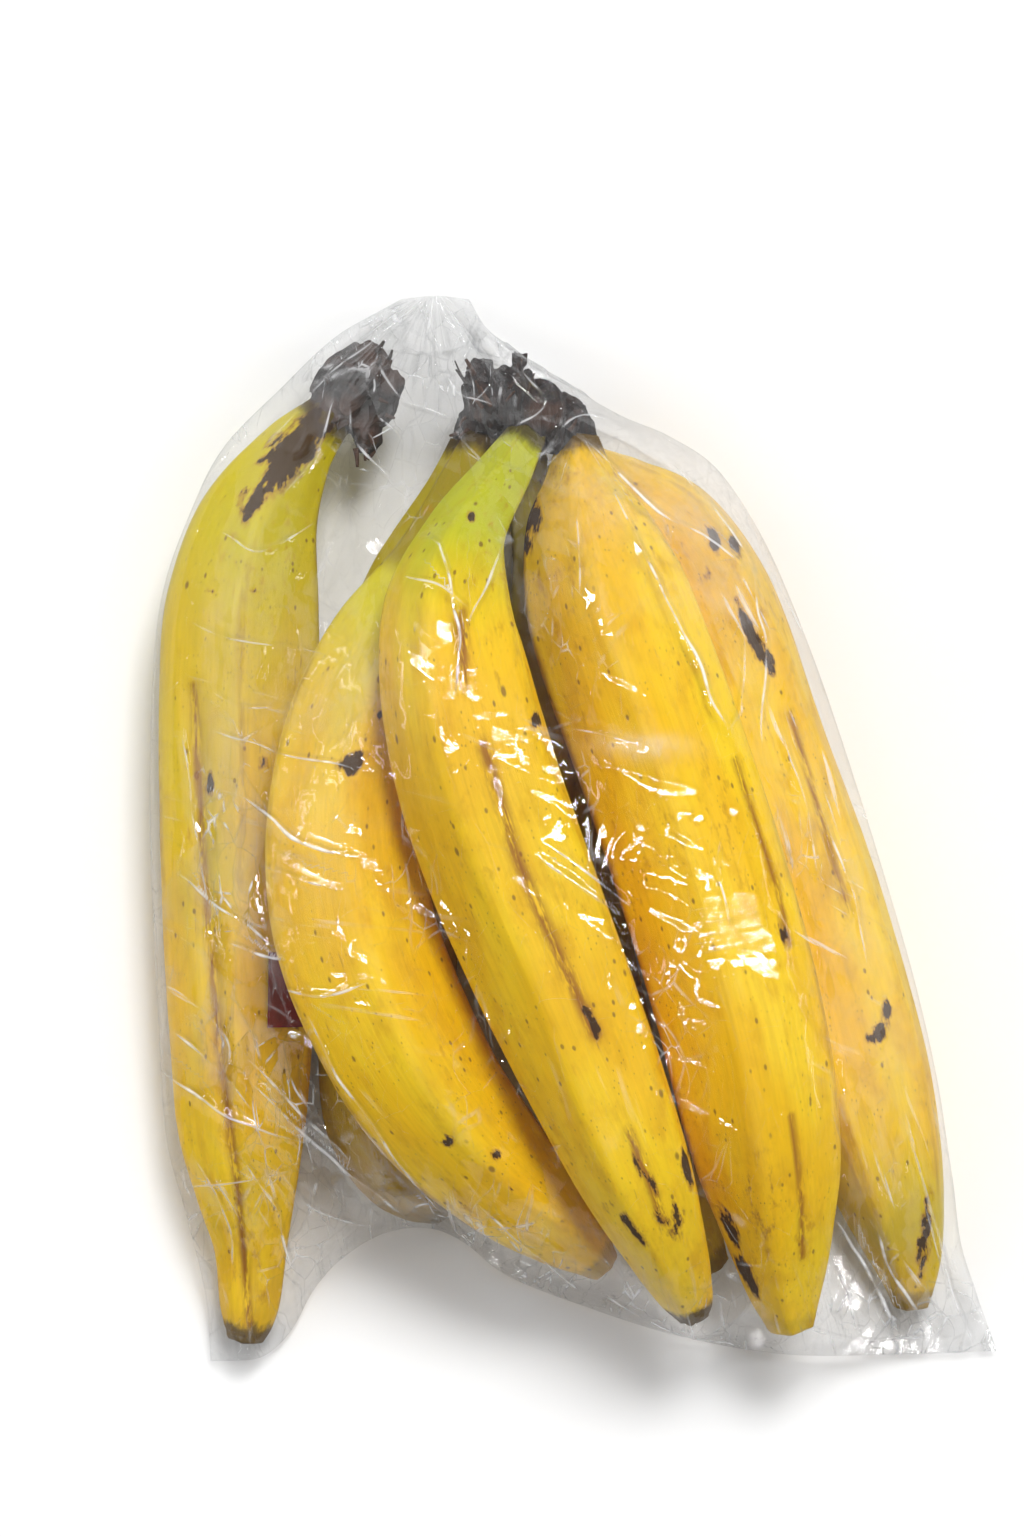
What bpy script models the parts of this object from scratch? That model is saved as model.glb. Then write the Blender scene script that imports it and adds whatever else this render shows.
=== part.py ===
"""A bunch of seven ripe plantains lying in a clear film bag.

Every plantain is a loft of ridged sections along a curved spine. Four lie on the floor of the
bag and three rest on top of them; each spine's heights follow from what lies under it. The
necks meet two dark crowns, and the film is stretched over the whole pile like a membrane.

Metres, +Z up, +Y towards the crowns, origin on the floor under the middle of the bag.
"""

import math

import bpy
import numpy as np

# Driving dimensions, in metres.
FRUIT_THICKNESS = 0.050  # the fattest plantain, across its middle; widths and heights follow it
FRUIT_LENGTH = 0.285  # neck to tip along the straightest plantain; lengths follow it
CONTACT_GAP = 0.0003  # between pieces that touch
FILM_WALL = 0.0008  # thickness of the bag's solid
FILM_SLACK = 0.0022  # from the plantains to the inside of the film
HEM_HEIGHT = 0.0036  # the welded end of the bag, which lies flat
MOUTH_HEIGHT = 0.0050  # the gathered neck of the bag, pressed nearly shut
STICKER_LENGTH = 0.022
STICKER_WIDTH = 0.013
STICKER_THICKNESS = 0.0003

# The layout below is drawn in millimetres for plantains 50 thick and 285 long.
DRAWN_THICKNESS = 0.050
DRAWN_LENGTH = 0.285
DRAWN_MM = 0.001
ACROSS = DRAWN_MM * FRUIT_THICKNESS / DRAWN_THICKNESS
ALONG = DRAWN_MM * FRUIT_LENGTH / DRAWN_LENGTH
FLATNESS = 0.88  # a plantain is this much less deep than wide
UPWARDS = ACROSS * FLATNESS

# Mesh fineness.
SPINE_POINTS = 60
SIDES = 20  # points round a plantain or a crown
STATIONS = 27  # rings along a plantain
CURVE_STEPS = 24  # between two points of a curve
PULL_STEPS = 400  # that draw a spine taut
EASE_STEPS = 12  # that round it off afterwards
FILM_COLUMNS = 32
FILM_ROWS = 42
ROW_SQUEEZE = 0.65  # how much closer the film's rows lie at its two ends
RING_SQUEEZE = 0.35  # and a plantain's rings
FLOOR_STEP = 2  # the floor of the bag has every second column of its top
MEMBRANE_STEPS = 600
CROWN_INSET = 0.0040  # the film is held off a crown by balls just under its skin
CROWN_BALL = 0.0060

RIDGES = 5
RIDGE_DEPTH = 0.045  # of the radius
RIDGE_EDGE = 0.22  # how crisp the ridges are
NECK_SHARE = 0.12  # of a plantain, held up by its crown

# How far along the bunch the necks are cut from the centre crown, in millimetres.
CROWN_FACE = 114.0

# Each plantain: (x, y, radius) from the neck to the tip, in millimetres, then how high its neck
# and tip are held, how far its ridges are turned, and which earlier plantains it lies on.
PLANTAINS = {
    "plantain_far_left": {
        "spine": (
            (-72.0, 122.5, 7.0), (-84.0, 108.5, 12.0), (-94.0, 89.0, 18.2), (-98.2, 66.0, 22.4),
            (-99.3, 40.0, 23.6), (-99.3, 8.0, 23.6), (-99.0, -30.0, 22.6), (-98.6, -62.0, 21.0),
            (-98.4, -88.0, 18.8), (-97.2, -108.0, 14.6), (-96.2, -124.0, 10.8),
            (-96.8, -141.0, 8.8), (-98.0, -151.0, 5.2),
        ),
        "neck_height": 25.0,
        "tip_height": 9.0,
        "turn": 0.30,
        "on": (),
    },
    "plantain_under_left": {
        "spine": (
            (-31.0, CROWN_FACE, 6.0), (-34.5, 99.0, 10.0), (-39.4, 82.0, 15.4), (-45.6, 63.0, 19.0),
            (-49.4, 38.0, 20.4), (-51.2, 8.0, 20.6), (-52.6, -22.0, 20.6), (-55.0, -50.0, 19.6),
            (-58.0, -71.0, 17.8), (-57.8, -87.0, 15.8), (-53.0, -100.0, 12.6), (-46.0, -107.5, 9.4),
            (-38.5, -112.0, 5.5),
        ),
        "neck_height": 21.5,
        "tip_height": 7.5,
        "turn": 0.55,
        "on": (),
    },
    "plantain_under_centre": {
        "spine": (
            (-16.5, CROWN_FACE, 6.0), (-13.6, 98.0, 7.6), (-9.6, 78.0, 10.4), (-7.8, 52.0, 14.5),
            (-7.6, 24.0, 18.0), (-7.8, -6.0, 19.5), (-4.0, -38.0, 20.0), (4.5, -70.0, 19.2),
            (18.0, -97.0, 15.4), (30.5, -115.0, 11.0), (40.5, -130.0, 5.0),
        ),
        "neck_height": 21.5,
        "tip_height": 8.0,
        "turn": 0.10,
        "on": (),
    },
    "plantain_far_right": {
        "spine": (
            (-1.5, CROWN_FACE, 6.0), (3.0, 107.0, 7.4), (13.4, 99.0, 11.8), (26.6, 88.5, 16.2),
            (37.4, 71.0, 18.8), (45.4, 50.0, 20.2), (54.0, 22.0, 21.4), (64.6, -9.0, 22.3),
            (75.0, -43.0, 22.6), (84.2, -75.0, 21.6), (92.2, -104.0, 17.2), (97.6, -126.0, 11.2),
            (99.2, -141.0, 5.4),
        ),
        "neck_height": 21.5,
        "tip_height": 9.0,
        "turn": 0.80,
        "on": (),
    },
    "plantain_top_left": {
        "spine": (
            (-27.5, CROWN_FACE, 6.0), (-35.5, 96.0, 8.2), (-43.0, 79.0, 10.4), (-49.0, 67.0, 13.6),
            (-56.4, 53.0, 17.4), (-62.8, 36.0, 20.0), (-67.0, 18.0, 21.6), (-68.4, -4.0, 22.8),
            (-65.6, -27.0, 23.6), (-57.6, -50.0, 23.4), (-43.4, -76.0, 21.8), (-24.0, -99.0, 18.0),
            (-5.0, -116.0, 12.5), (8.0, -128.0, 5.0),
        ),
        "neck_height": 37.0,
        "tip_height": 34.0,
        "turn": 0.20,
        "on": ("plantain_far_left", "plantain_under_left", "plantain_under_centre"),
    },
    "plantain_top_right": {
        "spine": (
            (0.4, CROWN_FACE, 6.0), (1.0, 101.0, 11.0), (2.6, 88.0, 18.0), (8.0, 68.0, 23.6),
            (15.5, 46.0, 25.0), (24.5, 20.0, 25.0), (34.0, -8.0, 24.8), (43.0, -38.0, 24.4),
            (50.5, -68.0, 23.6), (55.6, -95.0, 21.2), (58.6, -117.0, 16.0), (60.4, -133.0, 11.4),
            (62.6, -145.5, 6.6),
        ),
        "neck_height": 42.0,
        "tip_height": 36.0,
        "turn": 0.42,
        "on": ("plantain_under_centre", "plantain_far_right"),
    },
    "plantain_top_centre": {
        "spine": (
            (-14.8, CROWN_FACE, 6.0), (-22.4, 101.0, 8.6), (-32.5, 84.0, 12.0), (-36.8, 64.0, 18.4),
            (-34.2, 42.0, 22.2), (-27.6, 14.0, 23.8), (-18.6, -12.0, 23.8), (-8.4, -38.0, 22.8),
            (5.0, -70.0, 20.4), (17.4, -100.0, 17.0), (26.0, -121.0, 12.4), (31.8, -136.0, 8.0),
            (33.6, -141.6, 5.0),
        ),
        "neck_height": 51.5,
        "tip_height": 40.0,
        "turn": 0.62,
        "on": (
            "plantain_under_left", "plantain_under_centre", "plantain_top_left",
            "plantain_top_right",
        ),
    },
}

# Crown sections from the neck face outwards: (y, left, right, bottom, top) in millimetres.
CENTRE_CROWN = (
    (CROWN_FACE, -38.0, 6.5, 13.0, 59.0),
    (118.0, -39.5, 7.0, 12.0, 61.0),
    (123.5, -38.5, 2.5, 13.0, 58.0),
    (128.5, -36.0, -4.0, 18.0, 51.0),
    (133.0, -31.0, -12.0, 25.0, 43.0),
)
# The left crown's sections stand across its own axis: (distance, left, right, bottom, top).
LEFT_CROWN = (
    (0.0, -11.0, 15.0, 15.0, 36.0),
    (5.0, -12.0, 16.5, 13.0, 38.0),
    (12.0, -11.5, 14.5, 13.5, 37.5),
    (18.0, -9.0, 10.0, 17.0, 34.0),
    (22.0, -5.0, 5.5, 21.0, 30.0),
)

# The bag's outline on the floor, as smooth curves through these points (millimetres).
BAG_LEFT = (
    (-52.0, 156.5), (-70.0, 146.0), (-86.0, 130.5), (-104.0, 112.0), (-114.0, 92.0),
    (-123.0, 64.0), (-125.6, 22.0), (-125.4, -10.0), (-123.4, -52.0), (-121.0, -90.0),
    (-115.0, -114.0), (-110.0, -138.0), (-108.5, -158.0),
)
BAG_RIGHT = (
    (-32.0, 156.5), (-26.0, 147.0), (-14.0, 136.5), (0.0, 128.5), (13.5, 121.0), (28.0, 115.0),
    (43.0, 105.0), (57.0, 84.0), (70.5, 52.0), (81.5, 20.0), (91.5, -12.0), (101.0, -45.0),
    (108.0, -76.0), (111.5, -102.0), (113.5, -122.0), (118.0, -137.0), (124.5, -155.0),
)
BAG_HEM = (
    (-108.5, -158.0), (-94.0, -157.0), (-85.0, -149.5), (-78.0, -137.0), (-70.0, -128.0),
    (-58.0, -120.5), (-45.0, -118.5), (-34.0, -122.5), (-21.0, -132.5), (0.0, -141.0),
    (30.0, -150.5), (62.0, -156.0), (95.0, -156.0), (124.5, -155.0),
)
BAG_MOUTH = ((-52.0, 156.5), (-42.0, 157.5), (-32.0, 156.5))
STICKER_PLACE = -47.0  # along the far left plantain, in millimetres
STICKER_ANGLE = math.radians(50)  # up from its inner side
EDGE_HEIGHT = 23.0  # where the film stands widest, beside the plantains on its floor
MOUTH_TAPER = 0.12  # of the bag's length, over which it closes down to its mouth
HEM_TAPER = 0.14  # and to its hem

COLOURS = {
    "ripe_yellow": (0.78, 0.50, 0.035),
    "green_neck": (0.56, 0.55, 0.05),
    "shaded_olive": (0.42, 0.29, 0.04),
    "crown_brown": (0.045, 0.028, 0.022),
    "sticker_red": (0.42, 0.035, 0.03),
    "clear_film": (0.92, 0.93, 0.94),
}


def clear_scene():
    for obj in list(bpy.data.objects):
        bpy.data.objects.remove(obj, do_unlink=True)


def material(name, roughness, alpha=1.0):
    made = bpy.data.materials.get(name) or bpy.data.materials.new(name)
    made.use_nodes = True
    shader = made.node_tree.nodes["Principled BSDF"]
    shader.inputs["Base Color"].default_value = (*COLOURS[name], 1.0)
    shader.inputs["Roughness"].default_value = roughness
    shader.inputs["Metallic"].default_value = 0.0
    shader.inputs["Alpha"].default_value = alpha
    return made


def add_object(name, points, faces, finish):
    mesh = bpy.data.meshes.new(name)
    mesh.from_pydata([tuple(point) for point in points], [], faces)
    mesh.validate()
    mesh.shade_smooth()
    mesh.materials.append(finish)
    obj = bpy.data.objects.new(name, mesh)
    bpy.context.scene.collection.objects.link(obj)
    return obj


def smooth_curve(points, shares):
    """Catmull-Rom curve through the points, at the given shares of its length."""
    points = np.array(points, float)
    padded = np.vstack([2 * points[0] - points[1], points, 2 * points[-1] - points[-2]])
    dense = []
    for start in range(len(points) - 1):
        before, here, there, after = padded[start:start + 4]
        for step in range(CURVE_STEPS):
            t = step / CURVE_STEPS
            dense.append(0.5 * (
                2 * here + (there - before) * t
                + (2 * before - 5 * here + 4 * there - after) * t * t
                + (3 * here - before - 3 * there + after) * t ** 3
            ))
    dense.append(points[-1])
    dense = np.array(dense)
    lengths = np.linalg.norm(np.diff(dense[:, :2], axis=0), axis=1)
    travelled = np.concatenate([[0.0], np.cumsum(lengths)])
    wanted = np.asarray(shares) * travelled[-1]
    return np.stack([np.interp(wanted, travelled, dense[:, i]) for i in range(dense.shape[1])], 1)


def smooth_step(low, high, value):
    share = np.clip((value - low) / (high - low), 0.0, 1.0)
    return share * share * (3 - 2 * share)


def resting_heights(spine, neck, tip, below):
    """Heights of a spine that is pulled taut over the spines below it, then eased."""
    floor = (FILM_WALL + CONTACT_GAP) / UPWARDS
    ridge = 1 + RIDGE_DEPTH
    gap = CONTACT_GAP / ACROSS
    need = spine[:, 2] * ridge + floor
    for other in below:
        apart = np.linalg.norm(spine[:, None, :2] - other[None, :, :2], axis=2)
        reach = (spine[:, None, 2] + other[None, :, 3]) * ridge + gap
        lift = np.sqrt(np.clip(reach ** 2 - apart ** 2, 0.0, None))
        need = np.maximum(need, np.where(apart < reach, other[None, :, 2] + lift, 0.0).max(1))
    share = np.linspace(0.0, 1.0, len(spine))
    freed = smooth_step(0.0, NECK_SHARE, share)
    height = np.maximum(need, neck * (1 - freed))
    height[0] = neck
    height[-1] = max(tip, need[-1])
    for _ in range(PULL_STEPS):
        height[1:-1] = np.maximum(need[1:-1], (height[:-2] + height[2:]) / 2)
    for _ in range(EASE_STEPS):
        height[1:-1] = (height[:-2] + 2 * height[1:-1] + height[2:]) / 4
    short = np.clip((need - height)[share > NECK_SHARE], 0.0, None).max()
    return height + short * freed


def settle_plantains():
    """Every plantain's spine as rows of (x, y, z, radius) in layout millimetres."""
    settled = {}
    for name, plantain in PLANTAINS.items():
        flat = smooth_curve(plantain["spine"], np.linspace(0.0, 1.0, SPINE_POINTS))
        below = [settled[other] for other in plantain["on"]]
        heights = resting_heights(flat, plantain["neck_height"], plantain["tip_height"], below)
        settled[name] = np.column_stack([flat[:, :2], heights, flat[:, 2]])
    return settled


def section_radius(angle, turn):
    """A rounded pentagon: the ridges stand out and the faces between them are flatter."""
    phase = RIDGES * (angle - turn)
    wave = math.cos(phase) + RIDGE_EDGE * math.cos(2 * phase)
    return 1 + RIDGE_DEPTH * wave / (1 + RIDGE_EDGE)


def neck_heading(spine):
    """The level direction in which a neck leaves its crown, square to the cut."""
    if abs(spine[0, 1] - CROWN_FACE) < 0.01:
        return np.array((0.0, -1.0, 0.0))
    step = (spine[1] - spine[0])[:3] * (1, 1, 0)
    return step / np.linalg.norm(step)


def bunched(count, squeeze):
    """Shares from 0 to 1 that lie closer together near both ends."""
    share = np.linspace(0.0, 1.0, count)
    return share - squeeze * np.sin(2 * math.pi * share) / (2 * math.pi)


def fruit_rings(spine, turn):
    """Rings across the spine, close together where the neck and the tip change fast."""
    share = bunched(STATIONS, RING_SQUEEZE)
    at = share * (len(spine) - 1)
    rows = np.stack([np.interp(at, range(len(spine)), spine[:, i]) for i in range(4)], 1)
    centres = rows[:, :3]
    tangents = np.gradient(centres, axis=0)
    tangents[0] = neck_heading(spine)
    rings = []
    for centre, tangent, radius in zip(centres, tangents, rows[:, 3]):
        tangent = tangent / np.linalg.norm(tangent)
        side = np.cross((0.0, 0.0, 1.0), tangent)
        side /= np.linalg.norm(side)
        up = np.cross(tangent, side)
        ring = []
        for step in range(SIDES):
            angle = 2 * math.pi * step / SIDES
            reach = radius * section_radius(angle, turn)
            ring.append(centre + reach * (math.cos(angle) * side + math.sin(angle) * up))
        rings.append(ring)
    return np.array(rings)


def to_metres(points):
    return np.asarray(points) * (ACROSS, ALONG, UPWARDS)


def loft_faces(rings, sides, closed_ends=True):
    """Quads between rings, with a fan to a middle point at each end."""
    faces = []
    for ring in range(rings - 1):
        for step in range(sides):
            here = ring * sides + step
            beside = ring * sides + (step + 1) % sides
            faces.append((here, beside, beside + sides, here + sides))
    if closed_ends:
        first, last = rings * sides, rings * sides + 1
        end = (rings - 1) * sides
        for step in range(sides):
            beside = (step + 1) % sides
            faces.append((first, beside, step))
            faces.append((last, end + step, end + beside))
    return faces


def add_loft(name, rings, finish):
    count, sides = rings.shape[:2]
    points = np.vstack([rings.reshape(-1, 3), rings[0].mean(0), rings[-1].mean(0)])
    faces = loft_faces(count, sides)
    return add_object(name, to_metres(points), faces, finish)


def add_plantains(settled):
    yellow = material("ripe_yellow", 0.42)
    green = material("green_neck", 0.42)
    olive = material("shaded_olive", 0.5)
    finishes = {
        "plantain_top_centre": green,
        "plantain_under_left": olive,
        "plantain_under_centre": olive,
    }
    for name, spine in settled.items():
        rings = fruit_rings(spine, PLANTAINS[name]["turn"])
        add_loft(name, rings, finishes.get(name, yellow))


def rounded_section(left, right, bottom, top, squareness=0.62):
    """A superellipse between the four limits, as (across, up) pairs."""
    across, up = (right - left) / 2, (top - bottom) / 2
    middle = ((left + right) / 2, (bottom + top) / 2)
    pairs = []
    for step in range(SIDES):
        angle = 2 * math.pi * step / SIDES
        cosine, sine = math.cos(angle), math.sin(angle)
        pairs.append((
            middle[0] + across * math.copysign(abs(cosine) ** squareness, cosine),
            middle[1] + up * math.copysign(abs(sine) ** squareness, sine),
        ))
    return pairs


def add_crown(name, sections, origin, heading):
    """A lumpy block lofted along its heading, with its first face just clear of the necks."""
    heading = np.array(heading, float) / np.linalg.norm(heading)
    side = np.array((heading[1], -heading[0]))
    clear = CONTACT_GAP / ALONG
    start = sections[0][0]
    rings = []
    for index, (distance, left, right, bottom, top) in enumerate(sections):
        forward = distance - start + clear
        ring = []
        for across, up in rounded_section(left, right, bottom, top):
            place = np.array(origin) + forward * heading + across * side
            ring.append((place[0], place[1], up))
        rings.append(ring)
    rings = np.array(rings)[:, ::-1]
    return add_loft(name, rings, material("crown_brown", 0.75))


def add_crowns(settled):
    add_crown("crown_centre", CENTRE_CROWN, (0.0, CROWN_FACE), (0.0, 1.0))
    neck = settled["plantain_far_left"]
    add_crown("crown_left", LEFT_CROWN, neck[0, :2], -neck_heading(neck)[:2])


def add_sticker(settled):
    """A plain patch on the far left plantain's inner flank."""
    host = "plantain_far_left"
    spine, turn = settled[host], PLANTAINS[host]["turn"]
    rows, columns = 7, 5
    layers = []
    for layer in range(2):
        lift = (CONTACT_GAP + layer * STICKER_THICKNESS) / UPWARDS
        grid = []
        for row in range(rows):
            y = STICKER_PLACE + STICKER_LENGTH / ALONG * (row / (rows - 1) - 0.5)
            x, z, radius = (np.interp(-y, -spine[:, 1], spine[:, i]) for i in (0, 2, 3))
            for column in range(columns):
                spread = STICKER_WIDTH / ACROSS / radius * (column / (columns - 1) - 0.5)
                angle = STICKER_ANGLE - spread
                reach = radius * section_radius(angle, turn) + lift
                grid.append((x + reach * math.cos(angle), y, z + reach * math.sin(angle)))
        layers.append(grid)
    points = layers[0] + layers[1]
    size = rows * columns
    faces = []
    for row in range(rows - 1):
        for column in range(columns - 1):
            a = row * columns + column
            b, c, d = a + 1, a + columns + 1, a + columns
            faces.append((a, d, c, b))
            faces.append((size + a, size + b, size + c, size + d))
    border = [column for column in range(columns)]
    border += [row * columns + columns - 1 for row in range(1, rows)]
    border += [(rows - 1) * columns + column for column in range(columns - 2, -1, -1)]
    border += [row * columns for row in range(rows - 2, 0, -1)]
    for here, there in zip(border, border[1:] + border[:1]):
        faces.append((here, there, size + there, size + here))
    return add_object("fruit_sticker", to_metres(points), faces, material("sticker_red", 0.5))


def bag_outline():
    """Plan places of the film, rows from the mouth to the hem and columns from left to right."""
    scale = (ACROSS, ALONG)
    along = bunched(FILM_ROWS, ROW_SQUEEZE)
    share = 0.5 - 0.5 * np.cos(np.linspace(0.0, math.pi, FILM_COLUMNS))
    left = smooth_curve(BAG_LEFT, along) * scale
    right = smooth_curve(BAG_RIGHT, along) * scale
    mouth = smooth_curve(BAG_MOUTH, share) * scale
    hem = smooth_curve(BAG_HEM, share) * scale
    u = share[None, :, None]
    v = along[:, None, None]
    sides = left[:, None] * (1 - u) + right[:, None] * u
    ends = mouth[None] * (1 - v) + hem[None] * v
    corners = (
        left[0] * (1 - u) * (1 - v) + right[0] * u * (1 - v)
        + left[-1] * (1 - u) * v + right[-1] * u * v
    )
    return sides + ends - corners


def top_balls(settled):
    """Balls that fill the plantains and crowns before they are flattened: (x, y, z, radius)."""
    balls = []
    for spine in settled.values():
        balls.append(spine * (ACROSS, ALONG, ACROSS, ACROSS * (1 + RIDGE_DEPTH)))
    for obj in bpy.data.objects:
        if obj.name.startswith("crown"):
            spots = [(vertex.co, vertex.normal) for vertex in obj.data.vertices]
            spots += [(face.center, face.normal) for face in obj.data.polygons]
            inside = np.array([spot - CROWN_INSET * normal for spot, normal in spots])
            inside[:, 2] /= FLATNESS
            balls.append(np.column_stack([inside, np.full(len(inside), CROWN_BALL)]))
    return np.vstack(balls)


def film_height(plan, balls):
    """The film's height: a membrane fixed at the bag's edges and stretched over the balls."""
    reach = balls[:, 3] + FILM_SLACK + FILM_WALL
    apart = np.linalg.norm(plan[:, :, None] - balls[None, None, :, :2], axis=3)
    lift = np.sqrt(np.clip(reach ** 2 - apart ** 2, 0.0, None))
    raised = np.where(apart < reach, balls[:, 2] + lift, 0.0).max(axis=2) * FLATNESS
    share = bunched(FILM_ROWS, ROW_SQUEEZE)
    swell = smooth_step(0.0, MOUTH_TAPER, share) * (1 - smooth_step(1 - HEM_TAPER, 1.0, share))
    edge = EDGE_HEIGHT * UPWARDS * swell
    ends = MOUTH_HEIGHT * (1 - share) + HEM_HEIGHT * share
    edge = np.maximum(edge, ends)
    height = np.maximum(raised, edge[:, None])
    height[:, 0] = edge
    height[:, -1] = edge
    height[0] = MOUTH_HEIGHT
    height[-1] = HEM_HEIGHT
    for _ in range(MEMBRANE_STEPS):
        middle = (height[:-2, 1:-1] + height[2:, 1:-1] + height[1:-1, :-2] + height[1:-1, 2:]) / 4
        height[1:-1, 1:-1] = np.maximum(raised[1:-1, 1:-1], middle)
    return height


def floor_picks():
    """The top columns that the floor of the bag repeats, from right to left."""
    return sorted({*range(1, FILM_COLUMNS - 1, FLOOR_STEP), FILM_COLUMNS - 2}, reverse=True)


def hem_faces(start, around):
    """The weld that closes the bag: one flat face for each floor column."""
    picks = [FILM_COLUMNS - 1, *floor_picks(), 0]
    below = [None, *range(FILM_COLUMNS, around), None]
    faces = []
    for index in range(len(picks) - 1):
        upper = list(range(picks[index + 1], picks[index] + 1))
        lower = [at for at in below[index:index + 2] if at is not None]
        faces.append(tuple(start + at for at in upper + lower))
    return faces


def add_bag(settled):
    """One skin, open at its mouth, given its wall by Solidify."""
    plan = bag_outline()
    top = np.dstack([plan, film_height(plan, top_balls(settled))])
    floor = top[:, floor_picks()] * (1, 1, 0)
    skin = np.concatenate([top, floor], axis=1)
    rows, around = skin.shape[:2]
    faces = loft_faces(rows, around, closed_ends=False)
    faces += hem_faces((rows - 1) * around, around)
    faces = [face[::-1] for face in faces]
    obj = add_object("clear_bag", skin.reshape(-1, 3), faces, material("clear_film", 0.1, 0.25))
    wall = obj.modifiers.new("wall", "SOLIDIFY")
    wall.thickness = FILM_WALL
    wall.offset = -1.0
    wall.use_rim = True
    return obj


def centre_on_origin():
    """Move every piece together so that the bag stands over the origin."""
    corners = np.array([
        vertex.co for obj in bpy.data.objects for vertex in obj.data.vertices
    ])
    low, high = corners.min(axis=0), corners.max(axis=0)
    shift = np.array([-(low[0] + high[0]) / 2, -(low[1] + high[1]) / 2, -low[2]])
    for obj in bpy.data.objects:
        for vertex in obj.data.vertices:
            vertex.co = np.array(vertex.co) + shift


def main():
    clear_scene()
    settled = settle_plantains()
    add_plantains(settled)
    add_crowns(settled)
    add_sticker(settled)
    add_bag(settled)
    centre_on_origin()


main()
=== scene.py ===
"""A bunch of plantains in a clear film bag, laid on a pale floor and seen from straight above."""

import math

import bpy
import numpy as np
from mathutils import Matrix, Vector


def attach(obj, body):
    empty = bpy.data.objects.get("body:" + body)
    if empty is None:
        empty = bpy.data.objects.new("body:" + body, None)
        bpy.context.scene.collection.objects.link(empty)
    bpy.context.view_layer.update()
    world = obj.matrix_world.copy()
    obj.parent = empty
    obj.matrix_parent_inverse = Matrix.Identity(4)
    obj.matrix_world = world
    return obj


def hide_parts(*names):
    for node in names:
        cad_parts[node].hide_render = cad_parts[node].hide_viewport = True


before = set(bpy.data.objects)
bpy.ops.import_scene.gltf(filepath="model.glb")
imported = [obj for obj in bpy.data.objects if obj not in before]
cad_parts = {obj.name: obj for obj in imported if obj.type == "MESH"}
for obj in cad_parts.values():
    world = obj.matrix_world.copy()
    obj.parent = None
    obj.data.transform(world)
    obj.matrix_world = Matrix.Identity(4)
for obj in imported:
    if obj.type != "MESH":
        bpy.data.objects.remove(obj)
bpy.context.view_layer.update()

# The layout is drawn in millimetres, seen from above, with +Y towards the crowns.
MM = 0.001
FLATNESS = 0.88
CONTACT_GAP = 0.3
FILM_WALL = 0.8
CROWN_FACE = 114.0
SPINE_POINTS = 60
RIDGES = 5
RIDGE_DEPTH = 0.045
NECK_SHARE = 0.12

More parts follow.
